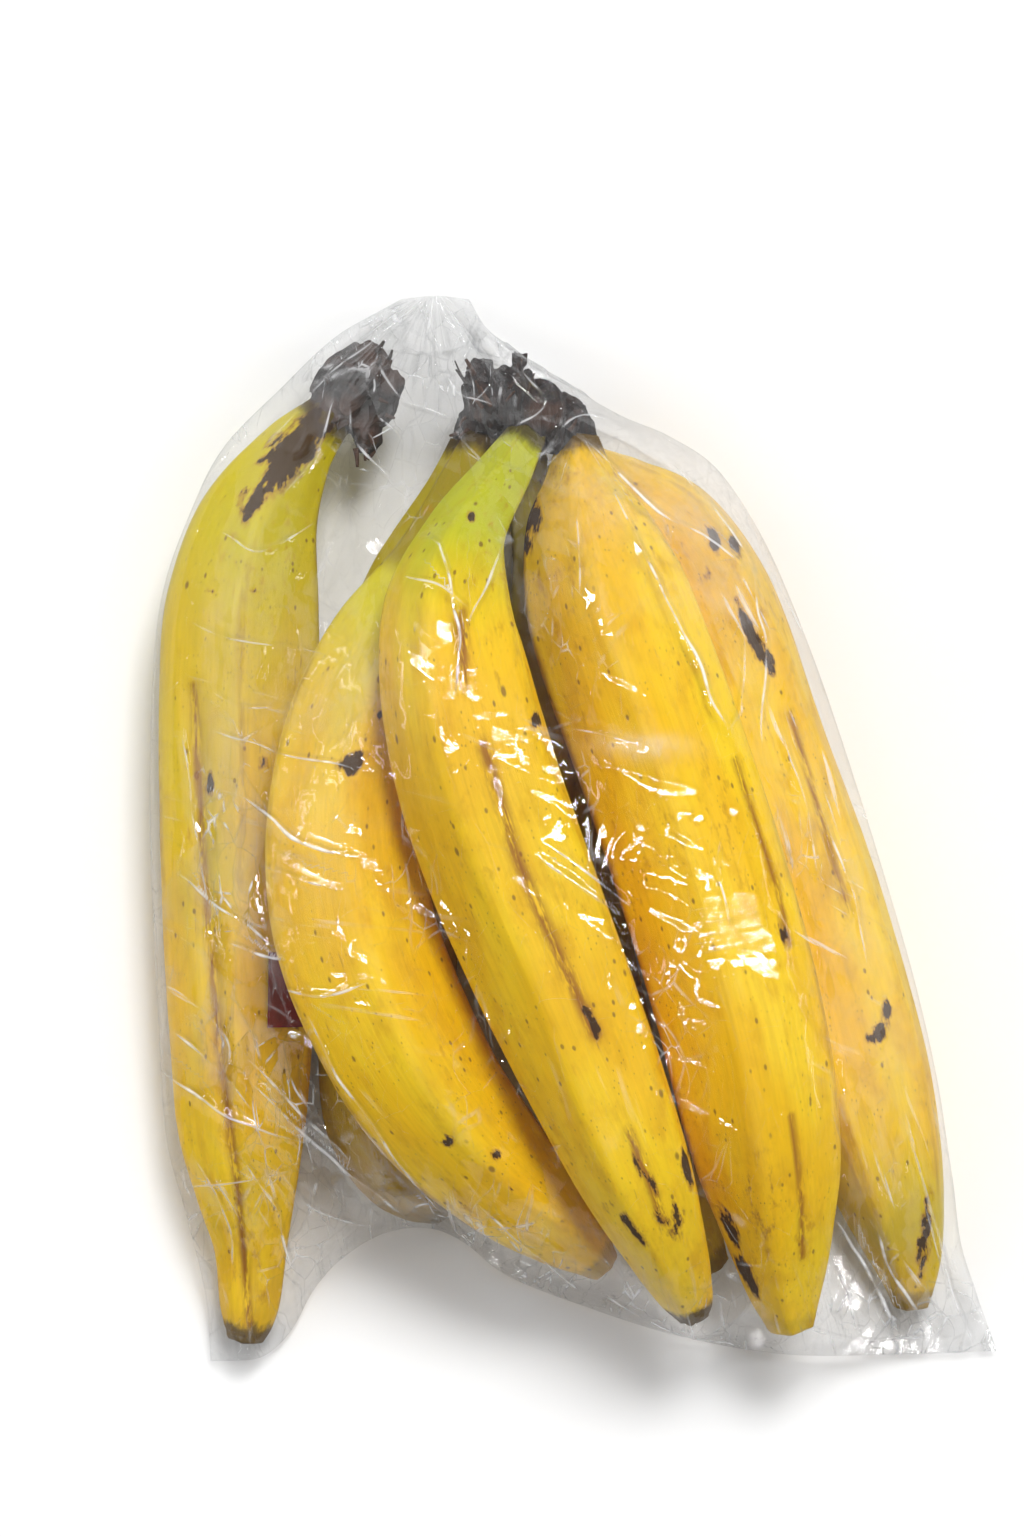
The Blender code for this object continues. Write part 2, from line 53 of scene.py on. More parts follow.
# Each plantain: (x, y, radius) from neck to tip, then neck height, tip height, turn of its
# ridges, and what it lies on.
PLANTAINS = {
    "plantain_far_left": (
        (
            (-72, 122.5, 7), (-84, 108.5, 12), (-94, 89, 18.2), (-98.2, 66, 22.4), (-99.3, 40, 23.6),
            (-99.3, 8, 23.6), (-99, -30, 22.6), (-98.6, -62, 21), (-98.4, -88, 18.8), (-97.2, -108, 14.6),
            (-96.2, -124, 10.8), (-96.8, -141, 8.8), (-98, -151, 5.2),
        ), 25, 9, 0.30, (),
    ),
    "plantain_under_left": (
        (
            (-31, CROWN_FACE, 6), (-34.5, 99, 10), (-39.4, 82, 15.4), (-45.6, 63, 19), (-49.4, 38, 20.4),
            (-51.2, 8, 20.6), (-52.6, -22, 20.6), (-55, -50, 19.6), (-58, -71, 17.8), (-57.8, -87, 15.8),
            (-53, -100, 12.6), (-46, -107.5, 9.4), (-38.5, -112, 5.5),
        ), 21.5, 7.5, 0.55, (),
    ),
    "plantain_under_centre": (
        (
            (-16.5, CROWN_FACE, 6), (-13.6, 98, 7.6), (-9.6, 78, 10.4), (-7.8, 52, 14.5), (-7.6, 24, 18),
            (-7.8, -6, 19.5), (-4, -38, 20), (4.5, -70, 19.2), (18, -97, 15.4), (30.5, -115, 11),
            (40.5, -130, 5),
        ), 21.5, 8, 0.10, (),
    ),
    "plantain_far_right": (
        (
            (-1.5, CROWN_FACE, 6), (3, 107, 7.4), (13.4, 99, 11.8), (26.6, 88.5, 16.2), (37.4, 71, 18.8),
            (45.4, 50, 20.2), (54, 22, 21.4), (64.6, -9, 22.3), (75, -43, 22.6), (84.2, -75, 21.6),
            (92.2, -104, 17.2), (97.6, -126, 11.2), (99.2, -141, 5.4),
        ), 21.5, 9, 0.80, (),
    ),
    "plantain_top_left": (
        (
            (-27.5, CROWN_FACE, 6), (-35.5, 96, 8.2), (-43, 79, 10.4), (-49, 67, 13.6), (-56.4, 53, 17.4),
            (-62.8, 36, 20), (-67, 18, 21.6), (-68.4, -4, 22.8), (-65.6, -27, 23.6), (-57.6, -50, 23.4),
            (-43.4, -76, 21.8), (-24, -99, 18), (-5, -116, 12.5), (8, -128, 5),
        ), 37, 34, 0.20,
        ("plantain_far_left", "plantain_under_left", "plantain_under_centre"),
    ),
    "plantain_top_right": (
        (
            (0.4, CROWN_FACE, 6), (1, 101, 11), (2.6, 88, 18), (8, 68, 23.6), (15.5, 46, 25),
            (24.5, 20, 25), (34, -8, 24.8), (43, -38, 24.4), (50.5, -68, 23.6), (55.6, -95, 21.2),
            (58.6, -117, 16), (60.4, -133, 11.4), (62.6, -145.5, 6.6),
        ), 42, 36, 0.42, ("plantain_under_centre", "plantain_far_right"),
    ),
    "plantain_top_centre": (
        (
            (-14.8, CROWN_FACE, 6), (-22.4, 101, 8.6), (-32.5, 84, 12), (-36.8, 64, 18.4),
            (-34.2, 42, 22.2), (-27.6, 14, 23.8), (-18.6, -12, 23.8), (-8.4, -38, 22.8), (5, -70, 20.4),
            (17.4, -100, 17), (26, -121, 12.4), (31.8, -136, 8), (33.6, -141.6, 5),
        ), 51.5, 40, 0.62,
        (
            "plantain_under_left", "plantain_under_centre", "plantain_top_left",
            "plantain_top_right",
        ),
    ),
}

# The bag's outline on the floor.
BAG_LEFT = (
    (-52, 156.5), (-70, 146), (-86, 130.5), (-104, 112), (-114, 92), (-123, 64), (-125.6, 22),
    (-125.4, -10), (-123.4, -52), (-121, -90), (-115, -114), (-110, -138), (-108.5, -158),
)
BAG_RIGHT = (
    (-32, 156.5), (-26, 147), (-14, 136.5), (0, 128.5), (13.5, 121), (28, 115), (43, 105), (57, 84),
    (70.5, 52), (81.5, 20), (91.5, -12), (101, -45), (108, -76), (111.5, -102), (113.5, -122),
    (118, -137), (124.5, -155),
)
BAG_HEM = (
    (-108.5, -158), (-94, -157), (-85, -149.5), (-78, -137), (-70, -128), (-58, -120.5), (-45, -118.5),
    (-34, -122.5), (-21, -132.5), (0, -141), (30, -150.5), (62, -156), (95, -156), (124.5, -155),
)
BAG_MOUTH = ((-52, 156.5), (-42, 157.5), (-32, 156.5))
EDGE_HEIGHT = 23.0 * FLATNESS


# Numbers and curves ---------------------------------------------------------------------------

def smooth_step(low, high, value):
    share = np.clip((value - low) / (high - low), 0.0, 1.0)
    return share * share * (3 - 2 * share)


def smooth_curve(points, shares):
    """Catmull-Rom curve through the points, at the given shares of its length seen from above."""
    points = np.array(points, float)
    padded = np.vstack([2 * points[0] - points[1], points, 2 * points[-1] - points[-2]])
    t = np.linspace(0.0, 1.0, 25)[:-1, None]
    dense = []
    for start in range(len(points) - 1):
        before, here, there, after = padded[start:start + 4]
        dense.append(0.5 * (
            2 * here + (there - before) * t
            + (2 * before - 5 * here + 4 * there - after) * t * t
            + (3 * here - before - 3 * there + after) * t ** 3
        ))
    dense = np.vstack(dense + [points[-1:]])
    lengths = np.linalg.norm(np.diff(dense[:, :2], axis=0), axis=1)
    travelled = np.concatenate([[0.0], np.cumsum(lengths)])
    wanted = np.asarray(shares) * travelled[-1]
    return np.stack([np.interp(wanted, travelled, dense[:, i]) for i in range(dense.shape[1])], 1)


def crowded(count, squeeze):
    """Shares from 0 to 1 that lie closer together towards both ends."""
    share = np.linspace(0.0, 1.0, count)
    return share - squeeze * np.sin(2 * math.pi * share) / (2 * math.pi)


def lattice(cell, seed):
    """A repeatable number from -1 to 1 for each cell of a grid."""
    mixed = cell[..., 0] * 374761393 + cell[..., 1] * 668265263 + cell[..., 2] * 1442695041
    mixed = (mixed + seed * 974634777) & 0xFFFFFFFF
    mixed = ((mixed ^ (mixed >> 13)) * 1274126177) & 0xFFFFFFFF
    mixed = mixed ^ (mixed >> 16)
    return (mixed & 0xFFFF) / 32767.5 - 1.0


def noise(places, seed=0):
    """Smooth value noise from -1 to 1, one wave to a unit."""
    places = np.asarray(places, float)
    cell = np.floor(places).astype(np.int64)
    part = places - cell
    ease = part ** 3 * (part * (part * 6 - 15) + 10)
    total = 0.0
    for corner in range(8):
        step = np.array([corner & 1, corner >> 1 & 1, corner >> 2 & 1])
        weight = np.prod(np.where(step, ease, 1 - ease), axis=-1)
        total = total + weight * lattice(cell + step, seed)
    return total


def layered(places, octaves=3, seed=0):
    """Smooth noise from -1 to 1 with finer noise added to it."""
    places = np.asarray(places, float)
    total = sum(noise(places * 2 ** k + 17.3 * k, seed + k) * 0.5 ** k for k in range(octaves))
    return total / (2 - 0.5 ** (octaves - 1))


def creased(places, octaves=2, seed=0):
    """Noise from 0 to 1 with sharp ridges where the smooth one crosses zero."""
    places = np.asarray(places, float)
    total = sum(
        (1 - np.abs(noise(places * 2 ** k + 9.1 * k, seed + k))) ** 3 * 0.5 ** k
        for k in range(octaves)
    )
    return total / (2 - 0.5 ** (octaves - 1))


def as_points(*parts):
    """Coordinates of any shapes that fit together, as one array of points."""
    return np.stack(np.broadcast_arrays(*parts), axis=-1)


def resting_heights(spine, neck, tip, below):
    """Heights of a spine that is pulled taut over the spines below it, then eased."""
    floor = (FILM_WALL + CONTACT_GAP) / FLATNESS
    need = spine[:, 2] * (1 + RIDGE_DEPTH) + floor
    for other in below:
        apart = np.linalg.norm(spine[:, None, :2] - other[None, :, :2], axis=2)
        reach = (spine[:, None, 2] + other[None, :, 3]) * (1 + RIDGE_DEPTH) + CONTACT_GAP
        lift = np.sqrt(np.clip(reach ** 2 - apart ** 2, 0.0, None))
        need = np.maximum(need, np.where(apart < reach, other[None, :, 2] + lift, 0.0).max(1))
    share = np.linspace(0.0, 1.0, len(spine))
    freed = smooth_step(0.0, NECK_SHARE, share)
    height = np.maximum(need, neck * (1 - freed))
    height[0] = neck
    height[-1] = max(tip, need[-1])
    for _ in range(400):
        height[1:-1] = np.maximum(need[1:-1], (height[:-2] + height[2:]) / 2)
    for _ in range(12):
        height[1:-1] = (height[:-2] + 2 * height[1:-1] + height[2:]) / 4
    short = np.clip((need - height)[share > NECK_SHARE], 0.0, None).max()
    return height + short * freed


def settle():
    """Every plantain's spine as rows of (x, y, z, radius)."""
    settled = {}
    for name, (spine, neck, tip, _, below) in PLANTAINS.items():
        flat = smooth_curve(spine, np.linspace(0.0, 1.0, SPINE_POINTS))
        heights = resting_heights(flat, neck, tip, [settled[other] for other in below])
        settled[name] = np.column_stack([flat[:, :2], heights, flat[:, 2]])
    return settled


def outline_shift():
    """How far the bag's outline is moved to stand over the origin, in millimetres."""
    sides = np.vstack([smooth_curve(line, np.linspace(0, 1, 400)) for line in (
        BAG_LEFT, BAG_RIGHT, BAG_HEM, BAG_MOUTH
    )])
    return -(sides.min(0) + sides.max(0)) / 2


SETTLED = settle()
SHIFT = np.array([*outline_shift(), 0.0])


# Meshes ---------------------------------------------------------------------------------------

def add_mesh(name, points, faces, attributes=None):
    """A smooth object in the scene, with a number or a vector at each point for each attribute."""
    mesh = bpy.data.meshes.new(name)
    mesh.from_pydata(np.asarray(points, float).tolist(), [], list(faces))
    for key, values in (attributes or {}).items():
        values = np.asarray(values, np.float32)
        kind = "FLOAT" if values.ndim == 1 else "FLOAT_VECTOR"
        layer = mesh.attributes.new(key, kind, "POINT")
        layer.data.foreach_set("value" if values.ndim == 1 else "vector", values.ravel())
    mesh.polygons.foreach_set("use_smooth", [True] * len(mesh.polygons))
    mesh.update()
    obj = bpy.data.objects.new(name, mesh)
    bpy.context.scene.collection.objects.link(obj)
    return obj


def grid_faces(rows, columns, closed):
    """Quads of a grid of points, wrapped round in its columns where it is closed."""
    row = np.arange(rows - 1)[:, None]
    column = np.arange(columns if closed else columns - 1)[None, :]
    beside = (column + 1) % columns
    a, b = row * columns + column, row * columns + beside
    return np.stack([a, b, b + columns, a + columns], axis=-1).reshape(-1, 4)


def place(points):
    """From layout millimetres, with heights already flattened, to the frame in metres."""
    return (np.asarray(points, float) + SHIFT) * MM


# Materials ------------------------------------------------------------------------------------

class Value:
    """What a node puts out, where a sum, a product and the like add further nodes."""

    def __init__(self, graph, socket):
        self.graph = graph
        self.socket = socket

    def __add__(self, other):
        return self.graph.math("ADD", self, other)

    def __sub__(self, other):
        return self.graph.math("SUBTRACT", self, other)

    def __mul__(self, other):
        return self.graph.math("MULTIPLY", self, other)

    def __truediv__(self, other):
        return self.graph.math("DIVIDE", self, other)

    def __pow__(self, other):
        return self.graph.math("POWER", self, other)

    def __abs__(self):
        return self.graph.math("ABSOLUTE", self)

    def span(self, low, high, to_low=0.0, to_high=1.0, smooth=True):
        """From low to high turned into to_low to to_high, and held there outside."""
        return self.graph.add(
            "ShaderNodeMapRange",
            settings={"interpolation_type": "SMOOTHSTEP" if smooth else "LINEAR"},
            **{"Value": self, "From Min": low, "From Max": high, "To Min": to_low, "To Max": to_high},
        )


class Graph:
    """Short ways to add nodes to one material."""

    def __init__(self, name):
        self.material = bpy.data.materials.new(name)
        self.material.use_nodes = True
        self.tree = self.material.node_tree
        self.shader = self.tree.nodes["Principled BSDF"]
        self.output = self.tree.nodes["Material Output"]

    def put(self, socket, value):
        if isinstance(value, Value):
            self.tree.links.new(value.socket, socket)
        elif isinstance(value, tuple) and len(value) == 3 and socket.type == "RGBA":
            socket.default_value = (*value, 1.0)
        else:
            socket.default_value = value

    def shade(self, key, value):
        self.put(self.shader.inputs[key], value)

    def add(self, kind, out=0, settings=None, **inputs):
        """A node with its inputs by name, or by number after an underscore."""
        made = self.tree.nodes.new(kind)
        for key, value in (settings or {}).items():
            setattr(made, key, value)
        for key, value in inputs.items():
            self.put(made.inputs[int(key[1:]) if key[1:].isdigit() else key], value)
        if isinstance(out, tuple):
            return [Value(self, made.outputs[key]) for key in out]
        return Value(self, made.outputs[out])

    def attribute(self, name, out="Fac"):
        return self.add("ShaderNodeAttribute", out=out, settings={"attribute_name": name})

    def math(self, operation, a, b=0.0, clamp=False):
        return self.add(
            "ShaderNodeMath", settings={"operation": operation, "use_clamp": clamp}, _0=a, _1=b
        )

    def larger(self, a, b, clamp=False):
        return self.math("MAXIMUM", a, b, clamp)

    def vector(self, operation, a, b, out=0, **more):
        return self.add(
            "ShaderNodeVectorMath", out=out, settings={"operation": operation}, _0=a, _1=b, **more
        )

    def scaled(self, vector, scale):
        return self.vector("MULTIPLY", vector, scale)

    def noise(self, vector, scale, detail=2.0, rough=0.5, twist=0.0, out=0):
        return self.add(
            "ShaderNodeTexNoise", out=out, Vector=vector, Scale=scale, Detail=detail,
            Roughness=rough, Distortion=twist,
        )

    def cells(self, vector, scale, out, feature="F1"):
        return self.add(
            "ShaderNodeTexVoronoi", out=out, settings={"feature": feature}, Vector=vector, Scale=scale
        )

    def blend(self, share, first, second, mode="MIX"):
        return self.add(
            "ShaderNodeMix", out=2, settings={"data_type": "RGBA", "blend_type": mode},
            _0=share, _6=first, _7=second,
        )

    def bump(self, height, strength, distance, **more):
        return self.add(
            "ShaderNodeBump", Strength=strength, Distance=distance, Height=height, **more
        )


# Freckles: size of their cells, their own size in a cell, and how rare they are.
FRECKLES = ((150.0, 0.16, 0.80), (330.0, 0.22, 0.67), (900.0, 0.26, 0.58))
OCHRE = (0.46, 0.20, 0.006)
FRECKLE_BROWN = (0.17, 0.075, 0.016)
WORN_BROWN = (0.27, 0.082, 0.008)
BRUISE_EDGE = (0.36, 0.15, 0.02)
BRUISE_BLACK = (0.035, 0.017, 0.010)
SCAB_BROWN = (0.045, 0.024, 0.014)
SCRATCH_BROWN = (0.30, 0.15, 0.03)


def peel_material(name, gold, pale, deep, neck, root=None):
    """Waxy peel: fibres along it, freckles, worn ridges, bruises, a greener neck, a scabby tip."""
    g = Graph(name)
    where = g.attribute("peel", out="Vector")
    along, green, wear, bruise, tip = (
        g.attribute(key) for key in ("along", "green", "wear", "bruise", "scab")
    )

    def drawn(stretch, scale, detail=2.0, rough=0.5, twist=0.0):
        """Noise drawn out along the fruit, by one over the stretch."""
        return g.noise(g.scaled(where, (1.0, 1.0, stretch)), scale, detail, rough, twist)

    broad = drawn(0.35, 42.0, 3.0)
    cloudy = drawn(0.6, 120.0, 4.0, 0.6)
    fibre = drawn(0.035, 1100.0, 3.0, 0.6)
    colour = g.blend(broad.span(0.38, 0.66), gold, pale)
    colour = g.blend(cloudy.span(0.48, 0.74, 0.0, 0.60), colour, deep)
    colour = g.blend(drawn(0.02, 420.0).span(0.52, 0.70) * 0.20, colour, deep)
    greener = green + (broad - 0.5) * 0.5
    colour = g.blend(greener.span(0.12, 0.95), colour, neck)
    # Where a root colour is given, the very end of the neck turns dark olive brown: painted shade.
    if root:
        colour = g.blend(greener.span(1.15, 1.75), colour, root)
    shade = fibre.span(0.25, 0.75, 0.93, 1.04, smooth=False)
    grey = g.add("ShaderNodeCombineColor", _0=shade, _1=shade, _2=shade)
    colour = g.blend(1.0, colour, grey, "MULTIPLY")
    # Ochre mottling in patches.
    mottle = drawn(0.5, 300.0, 4.0, 0.7).span(0.53, 0.70)
    colour = g.blend(mottle * drawn(0.4, 34.0).span(0.44, 0.62, 0.12, 0.55), colour, OCHRE)
    # Freckles in three sizes, each drawn out a little along the fruit.
    marks = []
    for scale, size, chance in FRECKLES:
        own, distance = g.cells(g.scaled(where, (1.0, 1.0, 0.6)), scale, ("Color", "Distance"))
        marks.append(own.span(chance, chance + 0.02) * distance.span(size * 0.45, size, 1.0, 0.0))
    spots = g.larger(marks[0] * 0.75, marks[1] * 0.7)
    spots = g.larger(spots, marks[2] * g.noise(where, 60.0).span(0.42, 0.62) * 0.6)
    colour = g.blend(spots, colour, FRECKLE_BROWN)
    # Brown wear where ridges rub, broken up by noise.
    worn = wear * drawn(0.16, 520.0, 4.0, 0.7).span(0.34, 0.54)
    colour = g.blend(worn * 0.92, colour, WORN_BROWN)
    # Bruises: a soft field torn by noise, dark inside a browner edge.
    ragged = drawn(0.40, 330.0, 5.0, 0.70)
    torn = ragged * 1.1 + drawn(0.55, 130.0, 2.0, 0.6) * 0.9
    field = bruise + (torn - 1.0) * 2.2 * bruise.span(0.03, 0.25)
    dark = field.span(0.56, 0.68)
    colour = g.blend(field.span(0.22, 0.62, 0.0, 0.70), colour, BRUISE_EDGE)
    colour = g.blend(dark * 0.93, colour, BRUISE_BLACK)
    # The scab at the tip and the dry end of the neck.
    reach = along + (ragged - 0.5) * 0.030
    ends = g.larger(reach.span(0.972, 0.986) * tip, reach.span(0.012, 0.034, 1.0, 0.0))
    colour = g.blend(ends * 0.9, colour, SCAB_BROWN)
    # Scratches, paler and fine.
    scratch = drawn(0.12, 900.0, 2.0, 0.5, 0.6).span(0.70, 0.74) * cloudy.span(0.5, 0.6)
    colour = g.blend(scratch * 0.5, colour, SCRATCH_BROWN)
    g.shade("Base Color", colour)
    g.shade("Roughness", cloudy.span(0.3, 0.7, 0.40, 0.56) + g.larger(ends, dark) * 0.25)
    relief = fibre * 0.6 + g.noise(where, 1500.0, 3.0, 0.6) * 0.35
    relief = relief - g.larger(spots, dark) * 0.5 + ends * ragged * 5.0
    g.shade("Normal", g.bump(relief, 0.38, 0.00030))
    g.shade("Specular IOR Level", 0.18)
    g.shade("Subsurface Weight", 0.10)
    g.shade("Subsurface Radius", (0.9, 0.5, 0.1))
    g.shade("Subsurface Scale", 0.0025)
    return g.material


def crown_material():
    """Black dried fibre with brown and grey patches, paler where a fibre is torn off."""
    g = Graph("dry_crown_fibre")
    where = g.attribute("grain", out="Vector")
    strands = g.noise(g.scaled(where, (1.0, 1.0, 0.12)), 650.0, 5.0, 0.7)
    patches = g.noise(where, 110.0, 3.0, 0.6)
    colour = g.blend(strands.span(0.35, 0.68), (0.005, 0.004, 0.004), (0.032, 0.018, 0.015))
    colour = g.blend(patches.span(0.60, 0.72, 0.0, 0.5), colour, (0.085, 0.030, 0.016))
    colour = g.blend(patches.span(0.36, 0.24, 0.0, 0.6), colour, (0.075, 0.072, 0.075))
    g.shade("Base Color", g.blend(g.attribute("pale") * 0.6, colour, (0.13, 0.050, 0.022)))
    g.shade("Roughness", strands.span(0.3, 0.7, 0.5, 0.85))
    g.shade("Normal", g.bump(strands + patches * 0.5, 0.9, 0.0012))
    return g.material


def facets(g, swayed, scale, slope, crumple, normal):
    """Flat leaning cells with sharp borders: the normal, the borders, and each cell's tone."""
    own, centre = g.cells(swayed, scale, ("Color", "Position"))
    within = g.vector("SUBTRACT", swayed, centre)
    lean = g.vector("SUBTRACT", own, (0.5, 0.5, 0.5))
    plane = g.vector("DOT_PRODUCT", within, lean, out=1) * scale * crumple
    border = g.cells(swayed, scale, "Distance", "DISTANCE_TO_EDGE").span(0.003, 0.035, 1.0, 0.0)
    tone = g.add("ShaderNodeSeparateColor", Color=own)
    return g.bump(plane, 1.0, 2 * slope / scale, Normal=normal), border, tone


# Film tints: clear, the grey of painted shade, and the white of milky haze and painted highlights.
FILM_CLEAR = (0.985, 0.985, 0.985)
FILM_PAINTED_SHADE = (0.42, 0.43, 0.44)
FILM_HAZE_WHITE = (0.95, 0.95, 0.96)


def film_material(name):
    """Clear film: light passes and mirrors off its facets and streaks, painted shade darkens it along its
    folds and edges, and painted highlights whiten its folds.
    """
    g = Graph(name)
    g.tree.nodes.remove(g.shader)
    where = g.attribute("sheet", out="Vector")
    crease, crumple, veil, gap, strength, combed = (
        g.attribute(key) for key in ("crease", "crumple", "veil", "gap", "strength", "combed")
    )
    ripple = g.noise(g.scaled(where, (1.0, 0.35, 1.0)), 90.0, 2.0, 0.5, 1.2)
    crinkle = g.noise(where, 260.0, 4.0, 0.62, 0.9)
    # Fine streaks that run side by side where the film is pulled.
    comb = g.noise(g.attribute("comb", out="Vector"), 1.0, 2.0, 0.5, 0.1)
    streak = comb.span(0.61, 0.71) * combed
    normal = g.bump(crinkle * 0.4 + ripple + comb * combed * 2.6, 0.16, 0.0009)
    # Flat facets with sharp folds between them, large and small.
    sway = g.noise(where, 24.0, out="Color")
    swayed = g.vector(
        "MULTIPLY_ADD", sway, (0.016, 0.016, 0.0), _2=g.scaled(where, (1.0, 0.55, 0.0))
    )
    normal, large, _ = facets(g, swayed, 70.0, 0.44, crumple, normal)
    normal, small, tone = facets(g, swayed, 170.0, 0.38, crumple, normal)
    folds = g.larger(large, small) * crumple * crumple
    # One crisp line along each fold: a painted highlight on its ridge and painted shade beside it.
    broken = g.noise(g.scaled(where, (1.0, 1.0, 0.0)), 90.0).span(0.40, 0.58, 0.12)
    nearness = abs(gap) / (strength * 0.55 + 0.30)
    line = nearness.span(0.15, 1.0, 1.0, 0.0) * strength
    painted_fold_shade = abs(gap - 0.95).span(0.05, 0.75, 1.0, 0.0) * strength
    # Mirrors: most where it is seen edge on, on streaks and lines, and where it is crumpled.
    facing = g.add("ShaderNodeLayerWeight", out=1, Normal=normal)
    catching = g.larger(g.larger(streak, line), crumple * 0.45).span(0.0, 1.0, 0.026, 0.13)
    shine = g.math("ADD", facing ** 4.0 * 0.50, catching, clamp=True)
    glossy = g.add(
        "ShaderNodeBsdfGlossy", Color=(1.0, 1.0, 1.0), Roughness=0.03, Normal=normal
    )
    # Painted shade: the light let through is darkened where the film is seen edge on, along its creases
    # and folds, in grey patches and beside its fold lines.
    painted_grey_patch = tone.span(0.55, 1.0, 0.0, 0.30, smooth=False) * crumple * crumple
    painted_darkening = facing ** 3.0 * 0.50 + crease * ripple.span(0.35, 0.65, 0.04, 0.34)
    painted_darkening = painted_darkening + (folds * 0.36 + painted_grey_patch) + painted_fold_shade * 0.30
    tint = g.blend(g.math("MINIMUM", painted_darkening, 1.0), FILM_CLEAR, FILM_PAINTED_SHADE)
    through = g.add("ShaderNodeBsdfTransparent", Color=tint)
    film = g.add("ShaderNodeMixShader", _0=shine, _1=through, _2=glossy)
    # Milky haze with painted sheen in patches, and painted highlights: white smears on creases, white
    # streaks, and white fold lines and borders.
    milky_haze_and_highlight = g.add("ShaderNodeBsdfDiffuse", Color=FILM_HAZE_WHITE, Normal=normal)
    smear = g.noise(where, 34.0, 3.0, 0.6).span(0.35, 0.75, 0.15, 1.0)
    haze_and_painted_sheen = veil * crinkle.span(0.3, 0.7, 0.65, 1.35) + crease * smear * 0.10 + streak * 0.36
    painted_fold_highlight = folds * ripple.span(0.45, 0.62, 0.0, 1.2) * broken
    share = g.larger(haze_and_painted_sheen, g.larger(line * broken * 0.90, painted_fold_highlight), clamp=True)
    film = g.add("ShaderNodeMixShader", _0=share, _1=film, _2=milky_haze_and_highlight)
    g.put(g.output.inputs["Surface"], film)
    return g.material


def sticker_material():
    """Plain dark red paper with paler specks."""
    g = Graph("plain_red_sticker")
    where = g.add("ShaderNodeTexCoord", out=3)
    blotch, speck = g.noise(where, 140.0, 3.0), g.noise(where, 1300.0)
    colour = g.blend(blotch.span(0.35, 0.7), (0.24, 0.016, 0.012), (0.15, 0.010, 0.010))
    g.shade("Base Color", g.blend(speck.span(0.66, 0.74, 0.0, 0.5), colour, (0.36, 0.16, 0.13)))
    g.shade("Roughness", blotch.span(0.3, 0.7, 0.35, 0.5))
    g.shade("Normal", g.bump(speck, 0.3, 0.0001))
    return g.material


def floor_material():
    g = Graph("pale_floor")
    where = g.add("ShaderNodeTexCoord", out=3)
    tone = g.noise(where, 3.0).span(0.3, 0.7)
    g.shade("Base Color", g.blend(tone, (0.90, 0.90, 0.90), (0.925, 0.925, 0.925)))
    g.shade("Roughness", g.noise(where, 60.0).span(0.3, 0.7, 0.62, 0.72))
    g.shade("Specular IOR Level", 0.1)
    return g.material


# Plantains ------------------------------------------------------------------------------------

RINGS, AROUND = ((230, 112))
CROWN_VOXEL = 0.0006
# Shares of the last ring that the rings inside it are drawn in to.
TIP_STEPS = (0.82, 0.55, 0.25)

# Bruises and freckles that show from above: (x, y, length, width, how dark, slant in degrees).
BRUISES = {
    "plantain_far_left": (
        (-84.5, 109.5, 30, 9, 1.3, -36), (-94.5, 95.5, 16, 3.6, 1.15, -34), (-107, 69.5, 2.6, 2, 1, 60),
        (-94.5, 69.5, 2.4, 1.8, 0.9, 60), (-107.5, 13, 6, 2.2, 1, 0), (-92, 18, 4.5, 3, 0.8, 0),
    ),
    "plantain_top_left": (
        (-64.5, 19, 4.5, 8, 0.9, 20), (-57, 33, 2, 1.8, 1, 0), (-38, -90, 3, 3.6, 1, 0),
        (-24, -94, 2.4, 2.4, 0.95, 0), (-19, -104, 6, 2, 0.8, 50),
    ),
    "plantain_top_centre": (
        (-30.7, 90, 2.8, 2, 1.1, 0), (-12.6, 31.5, 3.2, 2.6, 1.2, 0), (2, -51, 6, 2.4, 1.15, 18),
        (4.2, -56, 5, 2.2, 1.1, 18), (31, -97, 9, 2.6, 1, 10), (20, -100, 12, 3, 0.85, 30),
        (9, -108, 5, 3, 0.9, 55), (15, -114, 13, 3, 0.9, 40), (26, -112, 12, 9, 0.46, 10),
    ),
    "plantain_top_right": (
        (-14.5, 91, 9, 5, 1.1, 0), (-15.6, 82.5, 7, 4, 1.1, 0), (59, -29, 7, 2.2, 1.1, 15),
        (45, -118, 14, 3.4, 0.95, 25), (49, -128, 14, 3, 0.9, 25), (53, -107, 22, 10, 0.38, 8),
    ),
    "plantain_far_right": (
        (40, 85, 8, 3.8, 1.2, 15), (45.5, 83, 7, 3.6, 1.2, 15), (37.5, 74, 4, 3, 0.8, 0),
        (50, 59, 15, 2.6, 1.2, 22), (54.5, 50, 8, 3.4, 1.1, 30), (90, -53, 5, 2.6, 1.1, 0),
        (86.5, -60.5, 3.5, 8, 1, 40), (102, -122, 22, 3.5, 0.9, -5),
    ),
    "plantain_under_left": (
        (-33.5, 116, 18, 5, 1.1, 25),
    ),
}
